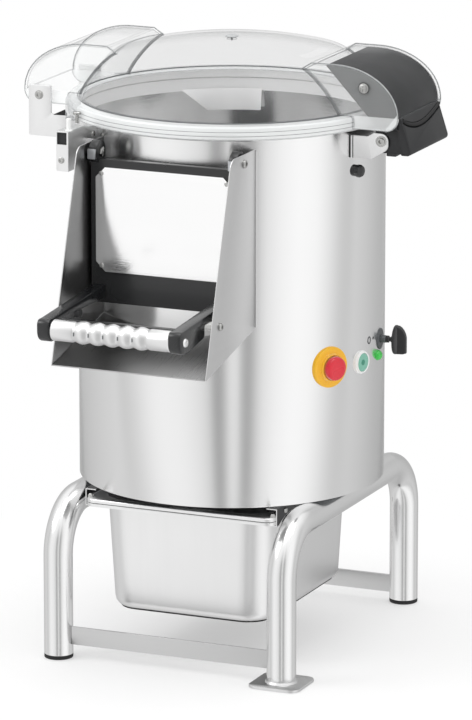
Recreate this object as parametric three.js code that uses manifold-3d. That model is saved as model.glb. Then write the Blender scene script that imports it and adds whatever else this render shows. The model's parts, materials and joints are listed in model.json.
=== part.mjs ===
// Electric potato peeler on a tubular stand, in millimetres, +Z up, front towards -Y
import * as THREE from 'three';
import { mergeVertices } from 'three/addons/utils/BufferGeometryUtils.js';
import Module from 'manifold-3d';

const wasm = await Module();
wasm.setup();

// Clearances and cutter overrun
const fit_gap = 0.3;
const run_gap = 0.6;
const overrun = 6;
const weld = 0.0001;

// Facet and step counts
const drum_count = 48;
const tube_count = 16;
const round_count = 16;
const bend_count = 7;
const corner_count = 4;

// Stand: two bent tubes, flat cross bars, rubber caps and one foot plate
const stand_height = 220;
const stand_front_reach = 3.5;
const stand_rear_reach = 17.5;
const tube_radius = 19;
const tube_wall = 1.6;
const bend_radius = 65;
const bar_height = 24;
const bar_thickness = 4;
const front_bar_z = 31;
const rear_bar_z = 23;
const cap_height = 5;
const cap_plug_height = 14;
const foot_plate_width = 70;
const foot_plate_corner = 13;
const foot_plate_thickness = 4;

// Rails that carry the waste pan
const rail_sheet = 1.5;
const rail_lip_width = 15;
const rail_side_gap = 3.3;
const rail_front_margin = 10;
const rail_rear_margin = 3;

// Waste pan with a flat rim and a turned-down edge
const pan_rim_width = 265;
const pan_rim_depth = 325;
const pan_setback = 27.5;
const pan_rim_drop = 10;
const pan_rim_flange = 13;
const pan_sheet = 1.2;
const pan_depth = 152;
const pan_corner = 40;
const pan_rim_corner = 12;
const pan_base_radius = 14;
const pan_taper_share = 0.055;
const pan_drop = 11;

// Drum shell, base plate and chamber floor
const drum_radius = 200;
const drum_wall = 2;
const drum_height = 486;
const drum_bead = 3.5;
const drum_bead_height = 6;
const base_sheet = 3;
const chamber_depth = 250;
const floor_sheet = 3;
const liner_thickness = 4;
const liner_bottom_gap = 22;
const liner_top_gap = 88;

// Abrasive disc with two raised waves, its shaft and bearing housing
const disc_edge_gap = 5.7;
const disc_thickness = 10;
const disc_lift = 7;
const disc_hub_radius = 28;
const wave_length = 120;
const wave_width = 34;
const wave_height = 8;
const wave_offset = 95;
const shaft_radius = 12;
const shaft_length = 176;
const housing_radius = 42;
const housing_flange_radius = 60;
const housing_flange = 6;
const housing_height = 70;

// Motor, pulleys and belt
const motor_edge_gap = 8;
const motor_radius = 55;
const motor_length = 118;
const motor_shaft_radius = 9.5;
const motor_shaft_length = 40;
const motor_plate_thickness = 5;
const motor_plate_half_width = 68;
const pulley_radius = 72;
const motor_pulley_radius = 18;
const pulley_height = 16;
const pulley_drop = 150;
const belt_thickness = 4;
const belt_height = 10;

// Waste duct from the chamber floor to the pan
const duct_radius = 32;
const duct_wall = 1.5;
const duct_edge_gap = 32;
const duct_overhang = 8;

// Door opening, its frame, and the discharge chute
const opening_half_width = 86;
const opening_sill = 38;
const opening_height = 156;
const frame_border = 11;
const frame_proud = 2.5;
const chute_half_width = 107;
const chute_sheet = 1.5;
const chute_top_drop = 17;
const chute_top_reach = 47;
const chute_lip_reach = 128;
const chute_lip_drop = 34;
const chute_floor_fall = 35;
const chute_corner = 14;
const chute_bite = 1;

// Door slab, gasket, cover plate, and the axis that they swing on
const door_axis_drop = 12;
const door_axis_reach = 7;
const door_side_gap = 3;
const door_lower_lap = 12;
const door_upper_lap = 19;
const door_thickness = 9;
const gasket_thickness = 1.9;
const gasket_border = 7;
const ear_thickness = 11;
const ear_radius = 15;
const plate_side_margin = 7.5;
const plate_lower_margin = 41;
const plate_upper_margin = 10;
const plate_thickness = 2;
const plate_chamfer = 13;
const pivot_radius = 4;
const pivot_head_radius = 5.5;
const pivot_head_height = 3;

// Handle: black frame with two arms and a bar, and the metal grip with finger swells
const grip_reach = 173;
const grip_drop = 2;
const grip_half_length = 81;
const grip_radius = 13.5;
const grip_swell = 1.6;
const grip_swell_count = 5;
const grip_swell_pitch = 20;
const grip_bore = 5;
const arm_end_radius = 15;
const arm_thickness = 17;
const arm_root_height = 18;
const arm_notch_run = 26;
const arm_notch_depth = 15;
const arm_top_rise = 15;
const bar_gap = 5;
const handle_bar_thickness = 10;
const handle_bar_height = 20;
const handle_rod_radius = 4;
const handle_rod_head_radius = 5.5;
const handle_rod_head = 2.5;

// Catch pins that the handle arms rest on
const pin_reach_out = 84;
const pin_rise = 1;
const pin_radius = 6;
const pin_reach = 20;
const pin_head_radius = 5;
const pin_head = 3;
const pin_shank_radius = 3;

// Lid: clear dome, turned rim and two box ears
const lid_rim_reach = 13;
const lid_rim_height = 19;
const lid_rim_wall = 3;
const lid_web_thickness = 4;
const lid_seat_gap = 11;
const dome_ledge = 17;
const dome_shoulder_width = 45;
const dome_shoulder_rise = 57;
const dome_shoulder_bend = 1.65;
const dome_rise = 76;
const dome_wall = 3;
const dome_crown_count = 3;
const dome_shoulder_count = 5;
const cheek_half_width = 75;
const ear_wall = 3;
const ear_overhang = 49;
const ear_arc_width = 86;
const ear_rise = 66;
const ear_base_drop = 16;
const ear_arc_height = 64;
const ear_corner = 17;
const ear_flat_width = 33;
const ear_tip_slope_width = 14;
const ear_tip_slope_drop = 9;
const lid_plug_radius = 8.5;
const lid_plug_neck = 6;
const lid_plug_cap = 2;
const lid_seal_width = 13.7;

// Lid hinge: black block, side brackets, pin, and the stop it leans on when open
const hinge_reach = 33.5;
const hinge_drop = 17;
const block_lean_width = 29;
const block_lean_rise = 15;
const block_foot_setback = 9.5;
const block_bottom_drop = 16;
const block_neck_inset = 18;
const block_plate_inset = 9;
const block_plate_thickness = 16;
const block_shoulder_rise = 18;
const bracket_sheet = 3;
const bracket_nose_radius = 10;
const bracket_top_rise = 5;
const bracket_bottom_drop = 24;
const bracket_step_setback = 18.5;
const bracket_heel_setback = 13.5;
const hinge_pin_radius = 4;
const hinge_pin_head_radius = 5;
const hinge_pin_head = 3;
const stop_angle = 74.5;
const stop_drop = 42;
const stop_radius = 7.5;
const stop_length = 13.5;

// Metal strap on the left ear, with the switch bracket and sensor beside the chute
const strap_sheet = 3;
const strap_inset = 8;
const strap_upright_width = 32;
const strap_foot_width = 54;
const strap_top_rise = 24;
const strap_foot_top_drop = 13;
const strap_bottom_drop = 43;
const strap_base_width = 37;
const switch_standoff = 9;
const switch_width = 19;
const switch_front_reach = 48;
const switch_depth = 58;
const switch_top_rise = 19;
const switch_height = 52;
const switch_web_top_rise = 10;
const switch_sheet = 2;
const window_margin = 3;
const window_height = 16;
const sensor_depth = 22;
const sensor_clear = 1.2;

// Controls on the drum side, each on a radial axis
const stop_button_angle = 62;
const stop_button_rise = 176;
const stop_base_radius = 26.8;
const stop_base_proud = 4.5;
const stop_collar_radius = 18;
const stop_collar_wall = 2;
const stop_collar_proud = 9;
const stop_head_radius = 15.4;
const stop_head_height = 9;
const stop_edge_radius_share = 0.82;
const stop_edge_height_share = 0.86;
const stop_head_gap = 5.5;
const stop_stem_radius = 6;
const start_angle = 79;
const start_rise = 172;
const bezel_radius = 15.2;
const bezel_height = 8;
const button_radius = 11.8;
const button_height = 2.2;
const button_travel = 2.5;
const button_stem_radius = 5;
const neck_radius = 11;
const neck_length = 14;
const block_depth = 34;
const lamp_angle = 94.5;
const lamp_rise = 169.5;
const lamp_radius = 7;
const lamp_dome_shares = [[1, 0], [0.8, 0.45], [0.45, 0.68], [0, 0.75]];
const lamp_flange = 2;
const lamp_neck_radius = 4.5;
const timer_angle = 98;
const timer_rise = 188.5;
const dial_radius = 15.5;
const dial_thickness = 2;
const timer_neck_radius = 5;
const timer_body_size = 28;
const knob_skirt_radius = 19;
const knob_skirt_height = 4;
const knob_grip_width = 11;
const knob_grip_height = 9.5;
const knob_gap = 12;
const knob_shaft_radius = 3;

// Services at the rear: cable gland and water inlet
const gland_angle = 190;
const gland_rise = 80;
const gland_radius = 12;
const gland_bore = 4;
const gland_length = 22;
const gland_thread_radius = 9;
const inlet_angle = 172;
const inlet_rise = 340;
const inlet_radius = 8;
const inlet_bore = 5.5;
const inlet_length = 40;
const inlet_flange_radius = 16;
const inlet_flange = 3;

// Places worked out from the sizes above
const drum_bottom_z = stand_height + fit_gap;
const drum_top_z = drum_bottom_z + drum_height;
const drum_inner_radius = drum_radius - drum_wall;
const skin_radius = drum_radius + fit_gap;
const lining_radius = drum_inner_radius - fit_gap;
const chamber_floor_z = drum_top_z - chamber_depth;
const disc_radius = lining_radius - liner_thickness - disc_edge_gap;
const disc_bottom_z = chamber_floor_z + floor_sheet + disc_lift;
const disc_top_z = disc_bottom_z + disc_thickness;
const duct_y = -(lining_radius - duct_edge_gap - duct_radius);
const motor_y = drum_inner_radius - motor_edge_gap - motor_radius;
const pulley_top_z = chamber_floor_z - pulley_drop;
const pulley_mid_z = pulley_top_z - pulley_height / 2;
const motor_top_z = chamber_floor_z - fit_gap - motor_plate_thickness - fit_gap;
const motor_bottom_z = motor_top_z - motor_length;

const stand_front_y = -drum_radius - stand_front_reach;
const stand_rear_y = drum_radius + stand_rear_reach;
const pan_front_y = stand_front_y + pan_setback;
const pan_rear_y = pan_front_y + pan_rim_depth;
const pan_centre_y = pan_front_y + pan_rim_depth / 2;
const pan_rim_z = stand_height - pan_drop;
const pan_bottom_z = pan_rim_z - pan_depth;
const rail_inner_x = pan_rim_width / 2 + 2 * run_gap;
const rail_outer_x = rail_inner_x + rail_sheet;
const stand_half_width = rail_outer_x + rail_side_gap + tube_radius;
const rail_bottom_z = pan_rim_z - pan_rim_drop - fit_gap - rail_sheet;
const rail_front_y = pan_front_y + rail_front_margin;
const rail_rear_y = pan_rear_y - rail_rear_margin;

const opening_bottom_z = chamber_floor_z + opening_sill;
const opening_top_z = opening_bottom_z + opening_height;
const chute_inner_x = chute_half_width - chute_sheet;
const chute_meets_drum = Math.sqrt(drum_radius ** 2 - chute_half_width ** 2);
const chute_rear_reach = drum_radius - chute_meets_drum + chute_bite;
const chute_front_y = -drum_radius - chute_lip_reach;
const chute_top_z = drum_top_z - chute_top_drop;
const chute_lip_z = chamber_floor_z - chute_lip_drop;
const frame_front_y = -drum_radius - frame_proud;

const door_axis_y = -drum_radius - door_axis_reach;
const door_axis_z = chute_top_z - door_axis_drop;
const door_half_width = chute_inner_x - door_side_gap;
const door_bottom_z = opening_bottom_z - door_lower_lap;
const door_top_z = opening_top_z + door_upper_lap;
const gasket_back_y = frame_front_y - fit_gap;
const door_back_y = gasket_back_y - gasket_thickness - fit_gap;
const door_front_y = door_back_y - door_thickness;
const plate_back_y = door_front_y - fit_gap;
const plate_half_width = door_half_width - plate_side_margin;
const plate_bottom_z = door_bottom_z + plate_lower_margin;
const plate_top_z = door_top_z - plate_upper_margin;

const pin_y = -drum_radius - pin_reach_out;
const pin_z = door_bottom_z + pin_rise;
const grip_y = -drum_radius - grip_reach;
const grip_z = pin_z - grip_drop;
const arm_inner_x = grip_half_length + fit_gap;
const arm_outer_x = arm_inner_x + arm_thickness;
const arm_root_bottom_z = pin_z + pin_radius + fit_gap;
const arm_root_top_z = arm_root_bottom_z + arm_root_height;
const arm_notch_y = pin_y - arm_notch_run;
const arm_notch_z = arm_root_bottom_z - arm_notch_depth;

const lid_rim_radius = drum_radius + lid_rim_reach;
const lid_rim_top_z = drum_top_z + lid_seat_gap + lid_web_thickness;
const lid_rim_bottom_z = lid_rim_top_z - lid_rim_height;
const dome_foot_radius = lid_rim_radius - dome_ledge;
const dome_shoulder_radius = dome_foot_radius - dome_shoulder_width;
const lid_seal_outer = lid_rim_radius - lid_rim_wall - fit_gap;
const ear_reach = lid_rim_radius + ear_overhang;
const ear_flat_x = ear_reach - ear_arc_width;
const ear_tip_x = ear_flat_x - ear_flat_width;
const ear_tip_slope_x = ear_tip_x - ear_tip_slope_width;
const ear_top_z = lid_rim_top_z + ear_rise;
const ear_base_z = lid_rim_top_z - ear_base_drop;
const ear_side_z = ear_top_z - ear_arc_height;

const hinge_x = drum_radius + hinge_reach;
const hinge_z = drum_top_z - hinge_drop;
const block_lean_x = ear_flat_x + block_lean_width;
const block_lean_z = ear_side_z + block_lean_rise;
const block_foot_x = hinge_x - block_foot_setback;
const block_bottom_z = hinge_z - block_bottom_drop;
const block_shoulder_z = hinge_z + block_shoulder_rise;
const block_neck_half_width = cheek_half_width - block_neck_inset;
const block_plate_half_width = cheek_half_width - block_plate_inset;
const block_plate_inner_x = ear_reach;
const block_plate_outer_x = ear_reach + block_plate_thickness;
const bracket_top_z = hinge_z + bracket_top_rise;
const bracket_bottom_z = hinge_z - bracket_bottom_drop;
const bracket_step_x = hinge_x - bracket_step_setback;
const bracket_heel_x = hinge_x - bracket_heel_setback;
const stop_z = hinge_z - stop_drop;

const strap_outer_x = ear_reach - strap_inset;
const strap_upright_x = strap_outer_x - strap_upright_width;
const strap_foot_x = strap_outer_x - strap_foot_width;
const strap_base_x = strap_outer_x - strap_base_width;
const strap_top_z = ear_base_z + strap_top_rise;
const strap_foot_top_z = ear_base_z - strap_foot_top_drop;
const strap_bottom_z = ear_base_z - strap_bottom_drop;
const switch_right_x = chute_half_width + switch_standoff;
const switch_left_x = switch_right_x + switch_width;
const switch_front_y = -drum_radius - switch_front_reach;
const switch_rear_y = switch_front_y + switch_depth;
const switch_top_z = chute_top_z + switch_top_rise;
const switch_bottom_z = switch_top_z - switch_height;
const switch_web_top_z = chute_top_z + switch_web_top_rise;

const stop_button_z = drum_bottom_z + stop_button_rise;
const start_z = drum_bottom_z + start_rise;
const lamp_z = drum_bottom_z + lamp_rise;
const timer_z = drum_bottom_z + timer_rise;
const gland_z = drum_bottom_z + gland_rise;
const inlet_z = drum_bottom_z + inlet_rise;

// Solid helpers
function radians(degrees) {
  return THREE.MathUtils.degToRad(degrees);
}

function solidOf(geometry) {
  const bare = geometry.clone();
  bare.deleteAttribute('normal');
  bare.deleteAttribute('uv');
  const merged = mergeVertices(bare, weld);
  const mesh = new wasm.Mesh({
    numProp: 3,
    vertProperties: new Float32Array(merged.attributes.position.array),
    triVerts: new Uint32Array(merged.index.array),
  });
  return new wasm.Manifold(mesh);
}

function geometryOf(solid) {
  const mesh = solid.getMesh();
  const geometry = new THREE.BufferGeometry();
  geometry.setAttribute('position', new THREE.BufferAttribute(mesh.vertProperties, 3));
  geometry.setIndex(new THREE.BufferAttribute(mesh.triVerts, 1));
  geometry.computeVertexNormals();
  return geometry;
}

function unite(first, ...rest) {
  return rest.reduce((whole, piece) => whole.add(piece), first);
}

function cut(first, ...rest) {
  return rest.reduce((whole, piece) => whole.subtract(piece), first);
}

// A box between two corners
function block(low, high) {
  const size = high.map((value, axis) => value - low[axis]);
  const geometry = new THREE.BoxGeometry(...size);
  geometry.translate(...low.map((value, axis) => value + size[axis] / 2));
  return solidOf(geometry);
}

// A round bar along an axis, from one place on the axis to another
function bar(axis, radius, from, to, centre = [0, 0], count = round_count) {
  const length = to - from;
  const geometry = new THREE.CylinderGeometry(radius, radius, length, count);
  geometry.translate(0, from + length / 2, 0);
  if (axis === 'x') {
    geometry.rotateZ(-Math.PI / 2);
    geometry.translate(0, centre[0], centre[1]);
  }
  if (axis === 'y') {
    geometry.translate(centre[0], 0, centre[1]);
  }
  if (axis === 'z') {
    geometry.rotateX(Math.PI / 2);
    geometry.translate(centre[0], centre[1], 0);
  }
  return solidOf(geometry);
}

// A turned piece about Z from [radius, height] points
function turned(profile, count = drum_count) {
  const points = profile.map(([radius, height]) => new THREE.Vector2(radius, height));
  const geometry = new THREE.LatheGeometry(points, count);
  geometry.rotateX(Math.PI / 2);
  return solidOf(geometry);
}

function ring(outer, inner, bottom, top, count = drum_count) {
  return turned([[inner, bottom], [outer, bottom], [outer, top], [inner, top], [inner, bottom]], count);
}

// A closed outline whose corners are [u, v, radius], with round corners as arcs
function outline(corners) {
  const shape = new THREE.Shape();
  const total = corners.length;
  corners.forEach(([u, v, radius = 0], index) => {
    const corner = new THREE.Vector2(u, v);
    const before = new THREE.Vector2(...corners[(index + total - 1) % total]).sub(corner);
    const after = new THREE.Vector2(...corners[(index + 1) % total]).sub(corner);
    const room = Math.min(before.length(), after.length()) / 2;
    const back = before.normalize();
    const ahead = after.normalize();
    const half = Math.acos(THREE.MathUtils.clamp(back.dot(ahead), -1, 1)) / 2;
    const size = Math.min(radius, room * Math.tan(half));
    const run = size / Math.tan(half);
    const start = corner.clone().addScaledVector(back, run);
    const end = corner.clone().addScaledVector(ahead, run);
    if (index === 0) shape.moveTo(start.x, start.y);
    else shape.lineTo(start.x, start.y);
    if (size > 0) {
      const middle = back.clone().add(ahead).normalize();
      const centre = corner.clone().addScaledVector(middle, size / Math.sin(half));
      const from = Math.atan2(start.y - centre.y, start.x - centre.x);
      const to = Math.atan2(end.y - centre.y, end.x - centre.x);
      shape.absarc(centre.x, centre.y, size, from, to, back.cross(ahead) > 0);
    }
  });
  shape.closePath();
  return shape;
}

// A flat plate cut from an outline and laid across one axis
function plate(axis, shape, from, to) {
  const options = { depth: to - from, bevelEnabled: false, curveSegments: corner_count };
  const geometry = new THREE.ExtrudeGeometry(shape, options);
  const across = new THREE.Vector3(1, 0, 0);
  const along = new THREE.Vector3(0, 1, 0);
  const up = new THREE.Vector3(0, 0, 1);
  const basis = new THREE.Matrix4();
  if (axis === 'x') basis.makeBasis(along, up, across).setPosition(from, 0, 0);
  if (axis === 'y') basis.makeBasis(across, up, along.clone().negate()).setPosition(0, to, 0);
  if (axis === 'z') basis.setPosition(0, 0, from);
  geometry.applyMatrix4(basis);
  return solidOf(geometry);
}

// The inside of the drum skin line, used to fit pieces to the round wall
function drumCore(radius = skin_radius) {
  return bar('z', radius, -overrun, lid_rim_top_z, [0, 0], drum_count);
}

// The same core as seen from a piece that onDrum places, with its facets in line with the drum's
function skinCore(angle, height) {
  return drumCore().rotate([0, 0, -angle]).translate([0, 0, -height]);
}

// A path that passes through given stations, for bent tubes
class StationPath extends THREE.Curve {
  constructor(stations) {
    super();
    this.stations = stations;
  }

  getPoint(t) {
    return this.stations[Math.round(t * (this.stations.length - 1))].clone();
  }

  getPointAt(t) {
    return this.getPoint(t);
  }

  getTangentAt(t) {
    const last = this.stations.length - 1;
    const index = Math.round(t * last);
    const here = this.stations[index];
    const tangent = new THREE.Vector3();
    if (index > 0) tangent.add(here.clone().sub(this.stations[index - 1]).normalize());
    if (index < last) tangent.add(this.stations[index + 1].clone().sub(here).normalize());
    return tangent.normalize();
  }
}

function mesh(name, shape, look) {
  const geometry = shape.isBufferGeometry ? shape : geometryOf(shape);
  const piece = new THREE.Mesh(geometry, new THREE.MeshStandardMaterial(look));
  piece.name = name;
  return piece;
}

function group(...pieces) {
  const holder = new THREE.Group();
  holder.add(...pieces);
  return holder;
}

// A group whose local front faces outwards from the drum at an angle from the front
function onDrum(angle, height, ...pieces) {
  const holder = group(...pieces);
  holder.rotation.z = radians(angle);
  holder.position.z = height;
  return holder;
}

// Colours and finishes
const steel = { color: 0xc9cacb, roughness: 0.32, metalness: 1 };
const polished = { color: 0xd8d9da, roughness: 0.14, metalness: 1 };
const sheet = { color: 0xb9bbbc, roughness: 0.38, metalness: 1 };
const dark_steel = { color: 0x6d6f70, roughness: 0.5, metalness: 1 };
const clear = { color: 0xe9eced, roughness: 0.06, metalness: 0, opacity: 0.4, transparent: true };
const black = { color: 0x1c1d1e, roughness: 0.5, metalness: 0 };
const rubber = { color: 0x151515, roughness: 0.8, metalness: 0 };
const pale_rubber = { color: 0xd6d7d5, roughness: 0.6, metalness: 0 };
const grit = { color: 0x4a4744, roughness: 0.95, metalness: 0 };
const cast = { color: 0x8c9092, roughness: 0.55, metalness: 0.9 };
const alloy = { color: 0xd2d3d4, roughness: 0.3, metalness: 1 };
const yellow = { color: 0xf6b21b, roughness: 0.4, metalness: 0 };
const red = { color: 0xc9202c, roughness: 0.35, metalness: 0 };
const white = { color: 0xf2f3f2, roughness: 0.35, metalness: 0 };
const green = { color: 0x5fae92, roughness: 0.4, metalness: 0 };
const lamp_green = { color: 0x35c04a, roughness: 0.25, metalness: 0 };

// Stand
function legFrame(name, side, front_bottom, rear_bottom) {
  const top = stand_height - tube_radius;
  const x = side * stand_half_width;
  const stations = [new THREE.Vector3(x, stand_front_y, front_bottom)];
  for (let step = 0; step <= bend_count; step += 1) {
    const turn = (step / bend_count) * (Math.PI / 2);
    const y = stand_front_y + bend_radius * (1 - Math.cos(turn));
    stations.push(new THREE.Vector3(x, y, top - bend_radius * (1 - Math.sin(turn))));
  }
  for (let step = bend_count; step >= 0; step -= 1) {
    const turn = (step / bend_count) * (Math.PI / 2);
    const y = stand_rear_y - bend_radius * (1 - Math.cos(turn));
    stations.push(new THREE.Vector3(x, y, top - bend_radius * (1 - Math.sin(turn))));
  }
  stations.push(new THREE.Vector3(x, stand_rear_y, rear_bottom));
  const section = (radius) => {
    const circle = new THREE.Shape();
    circle.absarc(0, 0, radius, 0, 2 * Math.PI);
    const options = { steps: stations.length - 1, curveSegments: tube_count / 2 };
    return solidOf(new THREE.ExtrudeGeometry(circle, {
      ...options,
      extrudePath: new StationPath(stations),
    }));
  };
  return mesh(name, cut(section(tube_radius), section(tube_radius - tube_wall)), polished);
}

function crossBar(name, y, z) {
  const end = stand_half_width - tube_radius - fit_gap;
  const low = [-end, y - bar_thickness / 2, z - bar_height / 2];
  const high = [end, y + bar_thickness / 2, z + bar_height / 2];
  return mesh(name, block(low, high), sheet);
}

function footCap(name, side, y) {
  const centre = [side * stand_half_width, y];
  const plug_radius = tube_radius - tube_wall - fit_gap;
  const cap = bar('z', tube_radius, 0, cap_height, centre);
  const plug = bar('z', plug_radius, cap_height / 2, cap_height + cap_plug_height, centre);
  return mesh(name, unite(cap, plug), rubber);
}

function footPlate(name, side, y) {
  const x = side * stand_half_width;
  const half = foot_plate_width / 2;
  const corners = [[-half, -half], [half, -half], [half, half], [-half, half]];
  const shape = outline(corners.map(([u, v]) => [x + u, y + v, foot_plate_corner]));
  return mesh(name, plate('z', shape, 0, foot_plate_thickness), sheet);
}

function panRail(name, side) {
  const outer = rail_outer_x;
  const inner = outer - rail_lip_width;
  const corners = [
    [inner, rail_bottom_z], [outer, rail_bottom_z], [outer, stand_height], [inner, stand_height],
    [inner, stand_height - rail_sheet], [rail_inner_x, stand_height - rail_sheet],
    [rail_inner_x, rail_bottom_z + rail_sheet], [inner, rail_bottom_z + rail_sheet],
  ];
  const shape = outline(corners.map(([x, z]) => [side * x, z]));
  return mesh(name, plate('y', shape, rail_front_y, rail_rear_y), sheet);
}

// Waste pan: a tapered tub with round corners and a flanged rim
function panTub(inset, bottom, top, base_radius) {
  const half_x = pan_rim_width / 2 - pan_rim_flange - inset;
  const half_y = pan_rim_depth / 2 - pan_rim_flange - inset;
  const corner = pan_corner - inset;
  const corners = [[-half_x, -half_y], [half_x, -half_y], [half_x, half_y], [-half_x, half_y]];
  const shape = outline(corners.map(([u, v]) => [u, v, corner]));
  const options = {
    depth: top - bottom - 2 * base_radius,
    bevelThickness: base_radius,
    bevelSize: base_radius,
    bevelOffset: -base_radius,
    bevelSegments: corner_count,
    curveSegments: corner_count,
  };
  const geometry = new THREE.ExtrudeGeometry(shape, options);
  geometry.translate(0, 0, bottom + base_radius);
  const place = geometry.attributes.position;
  for (let index = 0; index < place.count; index += 1) {
    const depth_share = (pan_rim_z - place.getZ(index)) / pan_depth;
    const scale = 1 - pan_taper_share * depth_share;
    place.setXY(index, place.getX(index) * scale, place.getY(index) * scale);
  }
  return solidOf(geometry);
}

function wastePan() {
  const rim = (inset, bottom, top) => {
    const x = pan_rim_width / 2 - inset;
    const y = pan_rim_depth / 2 - inset;
    const corners = [[-x, -y], [x, -y], [x, y], [-x, y]];
    const shape = outline(corners.map(([u, v]) => [u, v, pan_rim_corner - inset]));
    return plate('z', shape, bottom, top);
  };
  const rim_bottom = pan_rim_z - pan_rim_drop;
  const edge = cut(
    rim(0, rim_bottom, pan_rim_z),
    rim(pan_sheet, rim_bottom - overrun, pan_rim_z - pan_sheet),
  );
  const room = pan_base_radius + overrun;
  const outer = panTub(0, pan_bottom_z, pan_rim_z + room, pan_base_radius);
  const inner = panTub(pan_sheet, pan_bottom_z + pan_sheet, pan_rim_z + 2 * room, pan_base_radius);
  const wide = pan_rim_width;
  const above = block([-wide, -wide, pan_rim_z], [wide, wide, pan_rim_z + 3 * room]);
  const piece = mesh('waste_pan', cut(unite(edge, outer), inner, above), sheet);
  const holder = group(piece);
  holder.position.y = pan_centre_y;
  return holder;
}

// Drum: the wall with its rolled top edge, the door opening and the holes for the controls
function radialBar(angle, height, radius, from, to) {
  const geometry = new THREE.CylinderGeometry(radius, radius, to - from, round_count);
  geometry.translate(0, -(from + to) / 2, height);
  geometry.rotateZ(radians(angle));
  return solidOf(geometry);
}

function drumShell() {
  const bead_bottom = drum_top_z - drum_bead_height;
  const wall = turned([
    [drum_inner_radius, drum_bottom_z],
    [drum_radius, drum_bottom_z],
    [drum_radius, bead_bottom],
    [drum_radius + drum_bead, bead_bottom + drum_bead / 2],
    [drum_radius + drum_bead, drum_top_z - drum_bead / 2],
    [drum_radius + drum_bead / 2, drum_top_z],
    [drum_inner_radius, drum_top_z],
    [drum_inner_radius, drum_bottom_z],
  ]);
  const opening = block(
    [-opening_half_width, -drum_radius - overrun, opening_bottom_z],
    [opening_half_width, 0, opening_top_z],
  );
  const inside = drum_inner_radius - overrun;
  const outside = drum_radius + overrun;
  const holes = [
    [stop_button_angle, stop_button_z, neck_radius],
    [start_angle, start_z, neck_radius],
    [lamp_angle, lamp_z, lamp_neck_radius],
    [timer_angle, timer_z, timer_neck_radius],
    [gland_angle, gland_z, gland_thread_radius],
    [inlet_angle, inlet_z, inlet_radius],
  ].map(([angle, height, radius]) => radialBar(angle, height, radius + fit_gap, inside, outside));
  return mesh('drum_shell', cut(wall, opening, ...holes), steel);
}

function ductHole(from, to) {
  return bar('z', duct_radius + fit_gap, from, to, [0, duct_y]);
}

function basePlate() {
  const top = drum_bottom_z + base_sheet;
  const disc = bar('z', lining_radius, drum_bottom_z, top, [0, 0], drum_count);
  return mesh('base_plate', cut(disc, ductHole(drum_bottom_z - overrun, top + overrun)), dark_steel);
}

function chamberFloor() {
  const top = chamber_floor_z + floor_sheet;
  const low = chamber_floor_z - overrun;
  const disc = bar('z', lining_radius, chamber_floor_z, top, [0, 0], drum_count);
  const shaft_hole = bar('z', shaft_radius + run_gap, low, top + overrun);
  return mesh('chamber_floor', cut(disc, shaft_hole, ductHole(low, top + overrun)), steel);
}

function wasteDuct() {
  const top = chamber_floor_z + floor_sheet;
  const bottom = drum_bottom_z - duct_overhang;
  const pipe = ring(duct_radius, duct_radius - duct_wall, bottom, top, round_count);
  const piece = mesh('waste_duct', pipe, sheet);
  piece.position.y = duct_y;
  return piece;
}

function abrasiveLiner() {
  const bottom = chamber_floor_z + liner_bottom_gap;
  const top = drum_top_z - liner_top_gap;
  const lining = ring(lining_radius, lining_radius - liner_thickness, bottom, top);
  const opening = block(
    [-opening_half_width - fit_gap, -drum_radius, opening_bottom_z - fit_gap],
    [opening_half_width + fit_gap, 0, opening_top_z + fit_gap],
  );
  const inlet = radialBar(inlet_angle, inlet_z, inlet_radius + run_gap, disc_radius, drum_radius);
  return mesh('abrasive_liner', cut(lining, opening, inlet), grit);
}

// Drive: disc, shaft, pulleys, belt and motor
function abrasiveDisc() {
  const rim = bar('z', disc_radius, disc_bottom_z, disc_top_z, [0, 0], drum_count);
  const hub = bar('z', disc_hub_radius, disc_top_z - disc_thickness / 2, disc_top_z + wave_height);
  const wave = (side) => {
    const half = wave_width / 2;
    const crest = new THREE.Shape();
    crest.moveTo(-half, 0);
    crest.quadraticCurveTo(0, 2 * wave_height, half, 0);
    crest.lineTo(half, -disc_thickness / 2);
    crest.lineTo(-half, -disc_thickness / 2);
    crest.closePath();
    const start = side * wave_offset - wave_length / 2;
    return plate('x', crest, start, start + wave_length).translate([0, 0, disc_top_z]);
  };
  const bore = bar('z', shaft_radius + fit_gap, disc_bottom_z - overrun, disc_top_z);
  return mesh('abrasive_disc', cut(unite(rim, hub, wave(1), wave(-1)), bore), grit);
}

function driveShaft() {
  const top = disc_top_z - fit_gap;
  return mesh('drive_shaft', bar('z', shaft_radius, top - shaft_length, top), alloy);
}

function bearingHousing() {
  const top = chamber_floor_z - fit_gap;
  const flange = bar('z', housing_flange_radius, top - housing_flange, top);
  const body = bar('z', housing_radius, top - housing_height, top);
  const bore = bar('z', shaft_radius + run_gap, top - housing_height - overrun, top + overrun);
  return mesh('bearing_housing', cut(unite(flange, body), bore), cast);
}

function pulley(name, radius, bore, y, count) {
  const groove = belt_thickness / 2;
  const half = pulley_height / 2;
  const inner_half = belt_height / 2 + fit_gap;
  const wheel = turned([
    [bore, -half], [radius, -half], [radius, -inner_half], [radius - groove, -inner_half],
    [radius - groove, inner_half], [radius, inner_half], [radius, half], [bore, half], [bore, -half],
  ], count);
  const piece = mesh(name, wheel, cast);
  piece.position.set(0, y, pulley_mid_z);
  return piece;
}

function beltSolid(offset, half_height) {
  const large = pulley_radius - belt_thickness / 2 + fit_gap + offset;
  const small = motor_pulley_radius - belt_thickness / 2 + fit_gap + offset;
  const lean = Math.asin((large - small) / motor_y);
  const shape = new THREE.Shape();
  shape.absarc(0, 0, large, Math.PI - lean, 2 * Math.PI + lean, false);
  shape.absarc(0, motor_y, small, lean, Math.PI - lean, false);
  shape.closePath();
  const options = { depth: 2 * half_height, bevelEnabled: false, curveSegments: 2 * corner_count };
  const geometry = new THREE.ExtrudeGeometry(shape, options);
  geometry.translate(0, 0, pulley_mid_z - half_height);
  return solidOf(geometry);
}

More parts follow.
